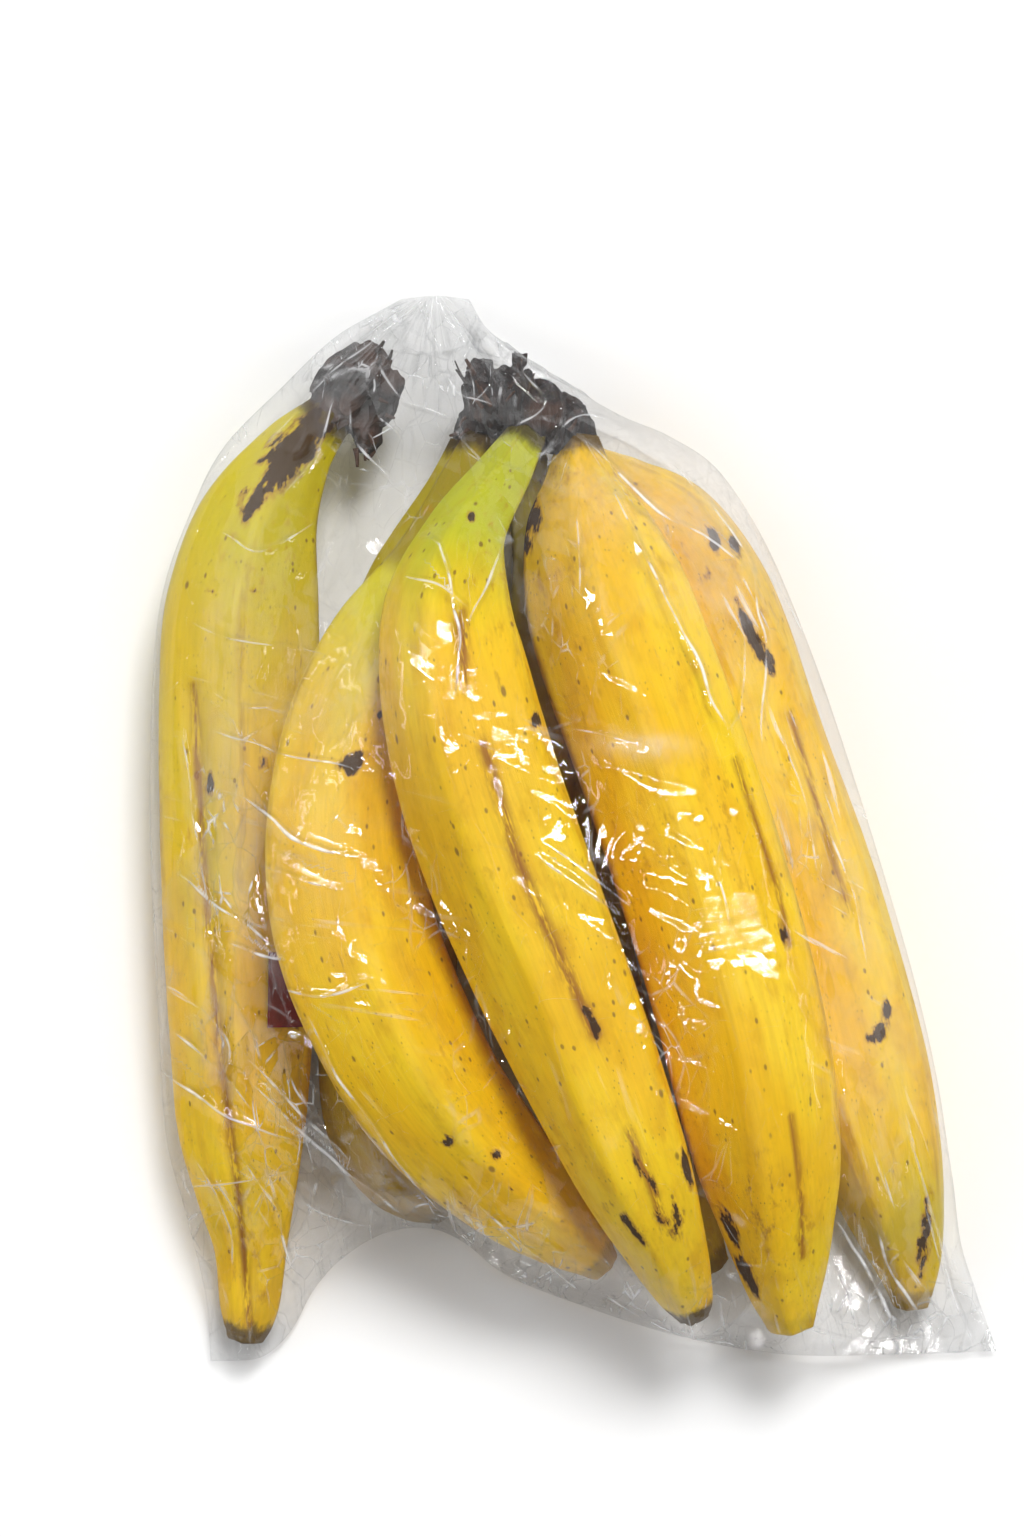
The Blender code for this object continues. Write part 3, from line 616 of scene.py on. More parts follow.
# Brown lines where ridges rub: points (x, y), and width.
WEAR = {
    "plantain_top_centre": (
        (((-27, 24), (-18.5, -6), (-12, -21.5), (-3.8, -40), (4.4, -58)), 2),
        (((-33.5, 62), (-32.5, 40)), 1.8),
        (((14, -86), (20, -100), (24, -112)), 1.5),
    ),
    "plantain_top_right": (
        (((45, 20), (52.5, -3), (57, -16.5), (60.5, -33)), 1),
        (((61, -82), (64, -104), (65, -124)), 0.9),
    ),
    "plantain_far_right": (
        (((62, 34), (70, 6), (79, -24)), 1),
    ),
    "plantain_far_left": (
        (((-112, 42), (-109.5, -5), (-105, -60), (-99.5, -105), (-96.5, -146)), 1.3),
    ),
    "plantain_top_left": (
        (((-54, 52), (-50, 30)), 1.2),
    ),
}
# Grooves: points (x, y), depth and width.
GROOVES = {
    "plantain_far_left": (
        (((-112, 42), (-109.5, -5), (-105, -60), (-99.5, -105), (-96, -148)), 2.6, 2.6),
    ),
    "plantain_top_centre": (
        (((-20, 0), (-6, -36), (10, -72)), 0.35, 3.5),
    ),
    "plantain_top_right": (
        (((46, 20), (58, -20), (64, -70)), 0.35, 3),
    ),
}
# How green the peel is: (share of its length, green); above 1 it turns to the root colour, a painted
# shade.
GREEN = {
    "plantain_far_left": ((0, 1), (0.1, 0.9), (0.3, 0.6), (0.52, 0.38), (0.7, 0.12), (1, 0.1)),
    "plantain_top_left": (
        (0, 2), (0.15, 2), (0.2, 1.1), (0.27, 0.62), (0.4, 0.2), (0.6, 0.1), (1, 0.1),
    ),
    "plantain_top_centre": (
        (0, 1), (0.13, 0.95), (0.22, 0.55), (0.3, 0.18), (0.5, 0.05), (1, 0.1),
    ),
    "plantain_top_right": ((0, 0.35), (0.1, 0.2), (0.25, 0.05), (0.8, 0.05), (0.88, 0.3), (1, 0.1)),
    "plantain_far_right": ((0, 0.4), (0.15, 0.15), (0.4, 0.08), (0.8, 0.2), (0.9, 0.62), (1, 0.4)),
    "plantain_under_left": ((0, 1), (0.15, 0.9), (0.35, 0.5), (1, 0.2)),
    "plantain_under_centre": ((0, 1), (0.15, 0.9), (0.35, 0.4), (1, 0.2)),
}
# How dark the scab at the tip is.
SCABS = {
    "plantain_far_left": 0.95, "plantain_top_left": 0.45, "plantain_top_centre": 1.0,
    "plantain_top_right": 0.22, "plantain_far_right": 0.55, "plantain_under_left": 0.6,
    "plantain_under_centre": 0.6,
}


def polyline_distance(x, y, points):
    """Distance to a line of points, positive on its left, and how far along it is nearest."""
    best, at = np.full(np.shape(x), np.inf), np.zeros(np.shape(x))
    side = np.ones(np.shape(x))
    points = np.array(points, float)
    lengths = np.linalg.norm(np.diff(points, axis=0), axis=1)
    travelled = np.concatenate([[0.0], np.cumsum(lengths)])
    for index, (start, end) in enumerate(zip(points[:-1], points[1:])):
        step = end - start
        dx, dy = x - start[0], y - start[1]
        t = np.clip((dx * step[0] + dy * step[1]) / (step @ step), 0, 1)
        away = np.hypot(dx - t * step[0], dy - t * step[1])
        nearer = away < best
        best = np.where(nearer, away, best)
        side = np.where(nearer, np.where(step[0] * dy - step[1] * dx < 0, -1.0, 1.0), side)
        at = np.where(nearer, (travelled[index] + t * lengths[index]) / travelled[-1], at)
    return best * side, at


def ring_frames(spine):
    """Centres and radii of a plantain's rings, with their directions, sides and tops."""
    rows = smooth_curve(spine, crowded(RINGS, 0.35))
    centres, radii = rows[:, :3], rows[:, 3]
    tangents = np.gradient(centres, axis=0)
    if abs(spine[0, 1] - CROWN_FACE) < 0.01:
        tangents[0] = (0.0, -1.0, 0.0)
    tangents /= np.linalg.norm(tangents, axis=1, keepdims=True)
    sides = np.cross((0.0, 0.0, 1.0), tangents)
    sides /= np.linalg.norm(sides, axis=1, keepdims=True)
    return centres, radii, tangents, sides, np.cross(tangents, sides)


def grooved(name, points, ring, upper):
    """The points with the plantain's grooves pressed into its upper side."""
    for line, depth, width in GROOVES.get(name, ()):
        away, at = polyline_distance(points[..., 0], points[..., 1], line)
        dip = np.exp(-(away / width) ** 2) * upper * np.sin(np.pi * np.clip(at, 0, 1)) ** 0.4
        lip = np.exp(-((np.abs(away) - 1.9 * width) / (0.9 * width)) ** 2) * upper
        points = points - (depth * dip - 0.12 * depth * lip)[..., None] * ring
    return points


def bruised(name, points, upper, hidden):
    """How bruised each point is: the marks that show from above, and some on hidden sides."""
    bruise = np.zeros(points.shape[:2])
    for x, y, long, wide, dark, slant in BRUISES.get(name, ()):
        lean = math.radians(slant)
        dx, dy = points[..., 0] - x, points[..., 1] - y
        a = (dx * math.sin(lean) - dy * math.cos(lean)) / (long / 2)
        b = (dx * math.cos(lean) + dy * math.sin(lean)) / (wide / 2)
        bruise = np.maximum(bruise, dark * np.exp(-0.75 * (a * a + b * b)) * upper)
    return np.maximum(bruise, 0.55 * smooth_step(0.93, 0.995, hidden) * (1 - upper))


def tube_faces(rings, around):
    """Faces of a closed tube of rings, where its two end middles are the last two points."""
    faces = grid_faces(rings, around, True).tolist()
    first, last, edge = rings * around, rings * around + 1, (rings - 1) * around
    for step in range(around):
        beside = (step + 1) % around
        faces.append((first, beside, step))
        faces.append((last, edge + step, edge + beside))
    return faces


def add_plantain(name, finish, number):
    centres, radii, tangents, sides, ups = ring_frames(SETTLED[name])
    turn = PLANTAINS[name][3]
    angle = np.linspace(0.0, 2 * math.pi, AROUND, endpoint=False)[None, :]
    length = np.concatenate([[0.0], np.cumsum(np.linalg.norm(np.diff(centres, axis=0), axis=1))])
    along = (length / length[-1])[:, None]
    # Ridges wander a little, and are crisper than the faces between them.
    drift = 0.10 * noise(as_points(along * 5, 0.0 * angle, number * 3.7), 5)
    phase = RIDGES * (angle - turn + drift)
    crest = (np.cos(phase) + 0.22 * np.cos(2 * phase)) / 1.22
    crisp = smooth_step(0.30, 1.0, crest)
    shape = 1 + RIDGE_DEPTH * (1.15 * crest + 0.55 * crisp - 0.58)
    around = as_points(
        np.cos(angle) * radii[:, None], np.sin(angle) * radii[:, None], length[:, None] + 0 * angle
    )
    lumps = layered(around * (0.05, 0.05, 0.025) + number * 5.3, 3, 11)
    dents = layered(around * (0.22, 0.22, 0.07) + number * 2.1, 2, 31)
    radius = radii[:, None] * (shape - 0.012 * (1 + lumps)) - 0.12 * (1 + dents)
    ring = np.cos(angle)[..., None] * sides[:, None] + np.sin(angle)[..., None] * ups[:, None]
    upper = smooth_step(-0.2, 0.2, np.sin(angle)) + 0 * along
    points = grooved(name, centres[:, None] + radius[..., None] * ring, ring, upper)
    hidden = creased(around * (0.035, 0.035, 0.02) + number * 3.3, 1, 71)
    bruise = bruised(name, points, upper, hidden)
    patchy = noise(as_points(around[..., 2] * 0.03, np.round(phase / 6.283), number * 1.9), 81)
    wear = 0.35 * smooth_step(0.90, 1.0, crest) * smooth_step(0.1, 0.5, patchy)
    for line, width in WEAR.get(name, ()):
        away, _ = polyline_distance(points[..., 0], points[..., 1], line)
        wear = np.maximum(wear, np.exp(-(away / width) ** 2) * upper)
    green = np.interp(along[:, 0], *np.array(GREEN[name]).T)[:, None]
    # The last rings swell into a lumpy scab, and smaller rings inside them close the tip.
    scab = layered(around * (0.5, 0.5, 0.5), 2, 47)
    points += (0.5 * smooth_step(0.975, 1.0, along) * scab)[..., None] * ring
    rings = list(points)
    for step in TIP_STEPS:
        closer = centres[-1] + (points[-1] - centres[-1]) * step
        lumpy = 0.35 * layered(closer * 0.6, 2, 3)[:, None]
        rings.append(closer + tangents[-1] * 1.5 * (1 - step) + lumpy)
    middles = (centres[0], centres[-1] + 0.5 * tangents[-1])
    skin = np.vstack([np.vstack(rings), middles]) * (1, 1, FLATNESS)
    extra = len(TIP_STEPS) * AROUND

    def spread(values, tip):
        """Values of the rings, then the tip's own for what closes the tip."""
        values = np.broadcast_to(values, (RINGS, AROUND)).ravel()
        return np.concatenate([values, np.full(extra, tip), [values[0], tip]])

    tail = np.repeat(around[-1][None], len(TIP_STEPS), axis=0).reshape(-1, 3) * 0.6
    tail[:, 2] = length[-1]
    peel = np.vstack([around.reshape(-1, 3), tail, [around[0].mean(0), around[-1].mean(0)]]) * MM
    peel[:, 0] += number * 0.37
    obj = add_mesh(name + "_peel", place(skin), tube_faces(len(rings), AROUND), {
        "peel": peel,
        "along": spread(along, 1.0),
        "green": spread(green, 0.0),
        "wear": spread(wear, 0.0),
        "bruise": spread(bruise, 0.0),
        "scab": spread(SCABS[name], SCABS[name]),
    })
    obj.data.materials.append(finish)
    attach(obj, "root")
    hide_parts(name)


# Crowns ---------------------------------------------------------------------------------------

def remeshed(obj, voxel):
    """The object's own surface rebuilt as one even skin, as arrays."""
    skin = obj.modifiers.new("skin", "REMESH")
    skin.mode = "VOXEL"
    skin.voxel_size = voxel
    graph = bpy.context.evaluated_depsgraph_get()
    made = obj.evaluated_get(graph).to_mesh()
    points, normals = (np.empty(len(made.vertices) * 3) for _ in range(2))
    made.vertices.foreach_get("co", points)
    made.vertices.foreach_get("normal", normals)
    faces = [tuple(face.vertices) for face in made.polygons]
    bpy.data.objects.remove(obj)
    return points.reshape(-1, 3), normals.reshape(-1, 3), faces


def tube(path, radii, sides=14):
    """Points and faces of a closed tube through the path."""
    path = np.array(path, float)
    radii = np.array(radii, float)
    tangents = np.gradient(path, axis=0)
    tangents /= np.linalg.norm(tangents, axis=1, keepdims=True)
    side = np.cross(tangents, (0.31, 0.17, 0.93))
    side /= np.linalg.norm(side, axis=1, keepdims=True)
    up = np.cross(tangents, side)
    angle = np.linspace(0, 2 * math.pi, sides, endpoint=False)
    ring = np.cos(angle)[None, :, None] * side[:, None] + np.sin(angle)[None, :, None] * up[:, None]
    points = path[:, None] + radii[:, None, None] * ring
    skin = np.vstack([points.reshape(-1, 3), path[:1], path[-1:]])
    return skin, tube_faces(len(path), sides)


def joined(parts):
    points, faces, start = [], [], 0
    for some, own in parts:
        points.append(some)
        faces += [tuple(start + at for at in face) for face in own]
        start += len(some)
    return np.vstack(points), faces


def add_crown(name, stumps, shreds, heading, seed, node):
    """Stumps grown together and dried, with torn fibres standing off them."""
    heading = np.array(heading, float) / np.linalg.norm(heading)
    steps = np.linspace(0, 1, 12)
    points, faces = joined([
        tube(smooth_curve(path, steps), np.interp(steps, np.linspace(0, 1, len(radii)), radii))
        for path, radii in stumps
    ])
    body = add_mesh("crown_draft", points * MM, faces)
    points, normals, faces = remeshed(body, CROWN_VOXEL)
    points = points / MM
    along = points @ heading
    across = points - along[:, None] * heading
    grain = np.column_stack([across[:, 0] + across[:, 1] * 0.6, across[:, 2], along])
    ribs = creased(grain * (0.42, 0.42, 0.05) + seed, 2, seed)
    flakes = layered(grain * (0.25, 0.25, 0.14) + seed, 3, seed + 5)
    points = points + normals * (1.5 * ribs - 0.9 + 0.9 * flakes)[:, None]
    pieces = [(points, faces)]
    grains = [grain]
    pales = [0.6 * smooth_step(0.2, 0.6, layered(grain * 0.09 + 3, 2, seed + 9))]
    random = np.random.default_rng(seed)
    for spot, reach, thick, tone in shreds:
        for _ in range(3):
            start = np.array(spot, float) + random.normal(0, 1.6, 3)
            bend = random.normal(0, 0.25, 3)
            way = np.array(reach, float) * random.uniform(0.35, 0.7)
            t = np.linspace(0, 1, 9)[:, None]
            path = start + way * t + bend * np.linalg.norm(way) * t * t
            radii = 1.5 * thick * (1.0 - 0.55 * t[:, 0]) * random.uniform(0.6, 1.1)
            some, own = tube(path, radii, 7)
            pieces.append((some, own))
            grains.append(some)
            pales.append(np.full(len(some), tone))
    points, faces = joined(pieces)
    points[:, 2] *= FLATNESS
    obj = add_mesh(name, place(points), faces, {
        "grain": np.vstack(grains) * MM, "pale": np.concatenate(pales),
    })
    obj.data.materials.append(CROWN_FINISH)
    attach(obj, "root")
    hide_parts(node)


# Film -----------------------------------------------------------------------------------------

ROWS, COLUMNS = ((400, 320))
UNDER_ROWS, UNDER_COLUMNS = 120, 90
FILM_LIFT = 0.9
CROWN_POINT_REACH = 2.6
COARSE_STEP = 5
NECK_MIDDLE = (-42.0, 160.0)


def bag_outline(rows, columns, squeeze=0.25):
    """The film's plan, filled in between its four edges, and its shares across and along."""
    along, share = crowded(rows, squeeze), crowded(columns, squeeze)
    left, right = smooth_curve(BAG_LEFT, along), smooth_curve(BAG_RIGHT, along)
    right[:, 0] -= 1.8 * smooth_step(0.15, 0.30, along) * (1 - smooth_step(0.80, 0.95, along))
    mouth, hem = smooth_curve(BAG_MOUTH, share), smooth_curve(BAG_HEM, share)
    u, v = share[None, :, None], along[:, None, None]
    sides = left[:, None] * (1 - u) + right[:, None] * u
    ends = mouth[None] * (1 - v) + hem[None] * v
    corners = (
        left[0] * (1 - u) * (1 - v) + right[0] * u * (1 - v)
        + left[-1] * (1 - u) * v + right[-1] * u * v
    )
    return sides + ends - corners, share, along


def raise_over(raised, plan, centre, reach, squash=1.0):
    """Raises the film over a ball, squashed in its height."""
    x, y, z = centre
    near = (np.abs(plan[..., 0] - x) < reach) & (np.abs(plan[..., 1] - y) < reach)
    apart = (plan[..., 0][near] - x) ** 2 + (plan[..., 1][near] - y) ** 2
    top = (z + np.sqrt(np.clip(reach ** 2 - apart, 0, None))) * squash
    raised[near] = np.maximum(raised[near], np.where(apart < reach ** 2, top, 0))


def covered_heights(plan, crown_points):
    """The lowest the film may lie over the plantains and the crowns, in millimetres."""
    raised = np.zeros(plan.shape[:2])
    for spine in SETTLED.values():
        for *centre, radius in smooth_curve(spine, np.linspace(0, 1, 150)):
            reach = radius * (1 + RIDGE_DEPTH) + FILM_LIFT
            raise_over(raised, plan, centre, reach, FLATNESS)
    for centre in crown_points:
        raise_over(raised, plan, centre, CROWN_POINT_REACH + FILM_LIFT)
    return raised


def relax(height, raised, steps):
    """Pulls the film taut between its edges, and keeps it above what it covers."""
    for _ in range(steps):
        middle = (height[:-2, 1:-1] + height[2:, 1:-1] + height[1:-1, :-2] + height[1:-1, 2:]) / 4
        height[1:-1, 1:-1] = np.maximum(raised[1:-1, 1:-1], middle)
    return height


def edge_heights(along):
    swell = smooth_step(0.0, 0.12, along) * (1 - smooth_step(0.84, 1.0, along))
    return np.maximum(EDGE_HEIGHT * swell, 5.0 * (1 - along) + 3.0 * along)


def edged(height, edge):
    """The film with its four edges at their own heights."""
    height[:, 0], height[:, -1] = edge, edge
    height[0], height[-1] = edge[0], edge[-1]
    return height


def stretched_film(raised, along):
    """A membrane over what is in the bag: first on a coarse grid, then on the fine one."""
    rows, columns = raised.shape
    some_rows = np.unique(np.append(np.arange(0, rows, COARSE_STEP), rows - 1))
    some_columns = np.unique(np.append(np.arange(0, columns, COARSE_STEP), columns - 1))
    coarse = np.array([[
        raised[max(row - 2, 0):row + 3, max(column - 2, 0):column + 3].max()
        for column in some_columns
    ] for row in some_rows])
    edge = edge_heights(along)
    height = relax(edged(coarse.copy(), edge[some_rows]), coarse, 700)
    spread = np.array([np.interp(np.arange(columns), some_columns, row) for row in height])
    full = np.column_stack([np.interp(np.arange(rows), some_rows, line) for line in spread.T])
    return relax(edged(np.maximum(full, raised), edge), raised, 40)


# Folds in the film: (points x, y, height, half width).
FOLDS = (
    ((
        (0, 116), (10, 97), (18.5, 78), (28, 60), (36, 43.5), (45.5, 27.5), (47.5, 40), (47, 67),
    ), 1.5, 2.2),
    (((2, 113), (14, 100), (25, 90), (38, 84), (52, 73)), 1.7, 2.4),
    (((25, 108.8), (37.4, 97), (46, 84), (52, 72.5), (54, 48), (52.5, 21)), 1.5, 2.2),
    (((-49.6, 72.5), (-40, 70), (-31, 63)), 1.3, 2.6),
    (((-106.5, 29), (-90, 24), (-61.5, 16.5)), 1.2, 2.2),
    (((-98.3, 9.9), (-88, 3), (-79.2, -4.3), (-66, -8), (-59.7, -9.6)), 1.9, 2.6),
    (((-117, -13), (-104, -22), (-92, -30), (-83.5, -36.8)), 2.2, 3),
    (((-102, -34), (-94, -36), (-83.5, -36.8)), 1.8, 2.4),
    (((-84.4, -45), (-74, -47), (-60.6, -43.5)), 1.4, 2.6),
    (((-10.4, -3), (0, -11), (15, -21.8)), 1.5, 1.6),
    (((-12.4, -6), (-2, -15), (12, -24)), 1.2, 1.4),
    (((-4, 29), (8, 27), (20, 24)), 1, 5),
    (((-1.6, 104), (-1, 85), (-0.4, 66)), 1, 1.4),
    (((40, -3.5), (39, -12), (44, -28)), 1, 1.3),
    (((-105, 40), (-97, 36), (-86, 35)), 0.9, 1.8),
    (((-113, 60), (-97, 54), (-72, 50)), 0.9, 1.6),
    (((-92, -10), (-80, -14), (-66, -19)), 1.2, 2),
    (((-118, -60), (-104, -70), (-94, -82)), 1.6, 2.4),
    (((-96, -66), (-84, -78), (-66, -96)), 1.6, 2),
    (((-78, -52), (-66, -76), (-52, -96), (-40, -112)), 1.8, 2.2),
    (((-93.6, -74), (-72, -94.5), (-47.2, -116.3)), 2, 2.2),
    (((-90, -96), (-76, -112), (-62, -118)), 1.4, 1.8),
    (((-112, -96), (-104, -112), (-100, -132)), 1.2, 1.8),
    (((70, 10), (78, -14), (84, -40)), 1.2, 2),
    (((58, 30), (66, 8), (70, -16)), 1, 1.6),
    (((74, -112), (84, -128), (96, -150)), 1.8, 2),
    (((70, -118), (78, -134), (84, -152)), 1.6, 1.8),
    (((84, -108), (92, -130), (108, -152)), 1.6, 1.8),
    (((106, -118), (110, -134), (118, -152)), 1.6, 2),
    (((-24, 122), (-36, 128), (-44, 150)), 0.9, 2.2),
    (((-34, 118), (-52, 124), (-60, 138)), 1, 2.2),
    (((-52, 100), (-64, 112), (-66, 124)), 1.2, 2),
    (((-86, 96), (-76, 108), (-71, 126)), 1.6, 2),
    (((-92, 112), (-76, 130), (-56, 146)), 0.9, 2),
    (((-104, 86), (-92, 80), (-76, 88)), 1.2, 1.8),
    (((-20, 116), (-10, 124), (-16, 134)), 1.3, 1.6),
    (((-124, -70), (-101, -84.4), (-77.7, -90.2)), 1.5, 2),
    (((-116, -106), (-95, -101.8), (-80.6, -97.4)), 1.2, 1.8),
    (((-46.7, 83), (-40, 82.4), (-36.5, 69.3), (-34.8, 54.8), (-35.6, 37.4)), 1.6, 1.8),
    (((-21.7, 83), (-26.4, 68.5), (-32.2, 58.6)), 1.2, 1.4),
    (((-116, 30), (-110, -4), (-106, -24)), 1, 1.6),
    (((-110, -52), (-101, -62), (-104, -74)), 1.5, 1.8),
    (((-99, -94), (-88, -112), (-84, -130)), 1.4, 1.8),
    (((-30, -108), (-12, -124), (4, -138)), 1.2, 1.6),
    (((6, -134), (24, -146), (46, -152)), 1.5, 1.6),
    (((66, -146), (84, -150), (112, -151)), 1.5, 1.6),
    (((-8, 112), (2, 120), (16, 116)), 1.3, 1.8),
)
# Bands of fine ripples: (x, y, half length, half width, heading in degrees, height, wave).
RIPPLES = (
    (-98, 18, 30, 26, -14, 0.55, 4), (-66, 12, 26, 34, -16, 0.55, 4.6),
    (-100, -40, 26, 40, -30, 0.75, 4.6), (-62, -38, 26, 26, -8, 0.45, 5), (-66, -92, 44, 24, -50, 1, 4.4),
    (-98, -110, 22, 34, -60, 0.8, 4), (-26, 28, 22, 30, -20, 0.30, 4.4), (42, -22, 14, 16, 10, 0.45, 2.6),
    (82, -24, 22, 46, -30, 0.70, 4), (56, 66, 34, 26, -62, 0.70, 4.6), (64, 20, 34, 16, -72, 0.60, 3.6),
    (22, -60, 30, 40, -70, 0.16, 5), (96, -100, 36, 18, -72, 0.85, 3.6),
    (84, -134, 26, 26, -55, 1.2, 4.2),
)
# White on the film, partly a milky haze and partly painted sheen and highlight: (x, y, half length along
# x, along y, share).
HAZE_AND_SHEENS = (
    (-69, 43, 26, 22, 0.085), (-80, -6, 24, 30, 0.045), (-101, 78, 22, 30, 0.030), (0, 78, 18, 26, 0.035),
    (21, 101, 26, 16, 0.12), (41, 78, 20, 24, 0.10), (79, -9, 14, 60, 0.050), (93, -79, 14, 50, 0.045),
    (18, 24, 13, 3.5, 0.22), (-42, 140, 26, 18, 0.05),
)
# Round these places the film is crumpled: (x, y, reach).
CRUMPLED_CROWNS = ((-65, 127, 18), (-18, 123, 22))
# Farther from a fold or an edge than either shows.
FAR = 9.0
UNDER_HEIGHT = 0.35
CROWN_CELL = 2.0
CROWN_SINK = 2.4


def fold_field(x, y):
    """What the folds do to the film at each place, as named arrays."""
    lift, crease = np.zeros(x.shape), np.zeros(x.shape)
    gap, strength = np.full(x.shape, FAR), np.zeros(x.shape)
    wobble_x = x + 1.5 * layered(as_points(x * 0.06, y * 0.06, 1.0), 2, 201)
    wobble_y = y + 1.5 * layered(as_points(x * 0.06, y * 0.06, 7.0), 2, 203)
    for index, (line, height, width) in enumerate(FOLDS):
        curve = smooth_curve(line, np.linspace(0, 1, 14))
        away, at = polyline_distance(wobble_x, wobble_y, curve)
        taper = np.clip(np.minimum(at, 1 - at) * 5, 0, 1) ** 0.7
        uneven = 0.75 + 0.35 * noise(as_points(at * 7, index * 2.7, 0.0 * at), 205)
        tent = np.exp(-(np.abs(away) / (0.62 * width)) ** 1.5) * taper * uneven
        lift = lift + 0.9 * height * tent
        crease = np.maximum(crease, 0.5 * tent * min(1.0, height / 1.6))
        nearer = np.abs(away) < np.abs(gap)
        gap = np.where(nearer, away, gap)
        strength = np.where(nearer, taper * uneven * min(1.0, height / 1.9), strength)
    comb, combed, rival = np.zeros(x.shape + (3,)), np.zeros(x.shape), np.zeros(x.shape)
    for index, (cx, cy, long, wide, heading, height, wave) in enumerate(RIPPLES):
        lean = math.radians(heading)
        a = (x - cx) * math.cos(lean) + (y - cy) * math.sin(lean)
        b = -(x - cx) * math.sin(lean) + (y - cy) * math.cos(lean)
        mask = np.exp(-((a / long) ** 2 + (b / wide) ** 2) * 1.6)
        fine = creased(as_points(a / (wave * 7), b / wave, index * 3.1), 2, 211 + index)
        rare = smooth_step(-0.25, 0.35, noise(as_points(a * 0.05, b * 0.13, index * 1.3), 231))
        lift = lift + height * fine * mask * rare * 1.4
        crease = np.maximum(crease, 0.30 * fine ** 2 * mask * rare)
        # The strongest band at each place draws its streaks, fading where two meet.
        strong = mask * rare * min(1.0, height / 0.6)
        first = strong > combed
        rival = np.where(first, combed, np.maximum(rival, strong))
        combed = np.where(first, strong, combed)
        own = as_points(a * 0.035, b * 1.7 / wave, index * 3.7 + 0 * a)
        comb = np.where(first[..., None], own, comb)
    # A thin milky haze everywhere, with more white in the listed patches: partly haze, partly painted
    # sheen.
    veil = np.full(x.shape, 0.003)
    for cx, cy, long, wide, share in HAZE_AND_SHEENS:
        veil += share * np.exp(-((x - cx) / long) ** 2 - ((y - cy) / wide) ** 2)
    veil *= 0.85 + 0.5 * layered(as_points(x * 0.05, y * 0.09, 4.0), 2, 241)
    return dict(
        lift=lift, crease=crease, gap=gap, strength=strength, comb=comb,
        combed=np.clip((combed - rival) * 1.5, 0.0, 1.0), veil=veil,
    )


def crumpled(x, y, height, loose, gather, hem):
    """How crumpled the film is: most at its neck, its hem and round the crowns."""
    crumple = 0.06 + 0.45 * loose + 0.55 * gather + 0.75 * hem
    for cx, cy, reach in CRUMPLED_CROWNS:
        crumple += 0.55 * np.exp(-((x - cx) ** 2 + (y - cy) ** 2) / reach ** 2)
    crumple += 0.34 * smooth_step(-50.0, -85.0, x) * smooth_step(50.0, 0.0, y)
    crumple += 0.35 * smooth_step(20.0, 60.0, y) * smooth_step(45.0, 62.0, x + 0.42 * (y - 60.0))
    crumple += 0.5 * smooth_step(-92.0, -118.0, y) * smooth_step(30.0, -10.0, height)
    return np.clip(crumple, 0.0, 1.0) * (0.65 + 0.35 * noise(as_points(x * 0.05, y * 0.05, 3.0), 331))


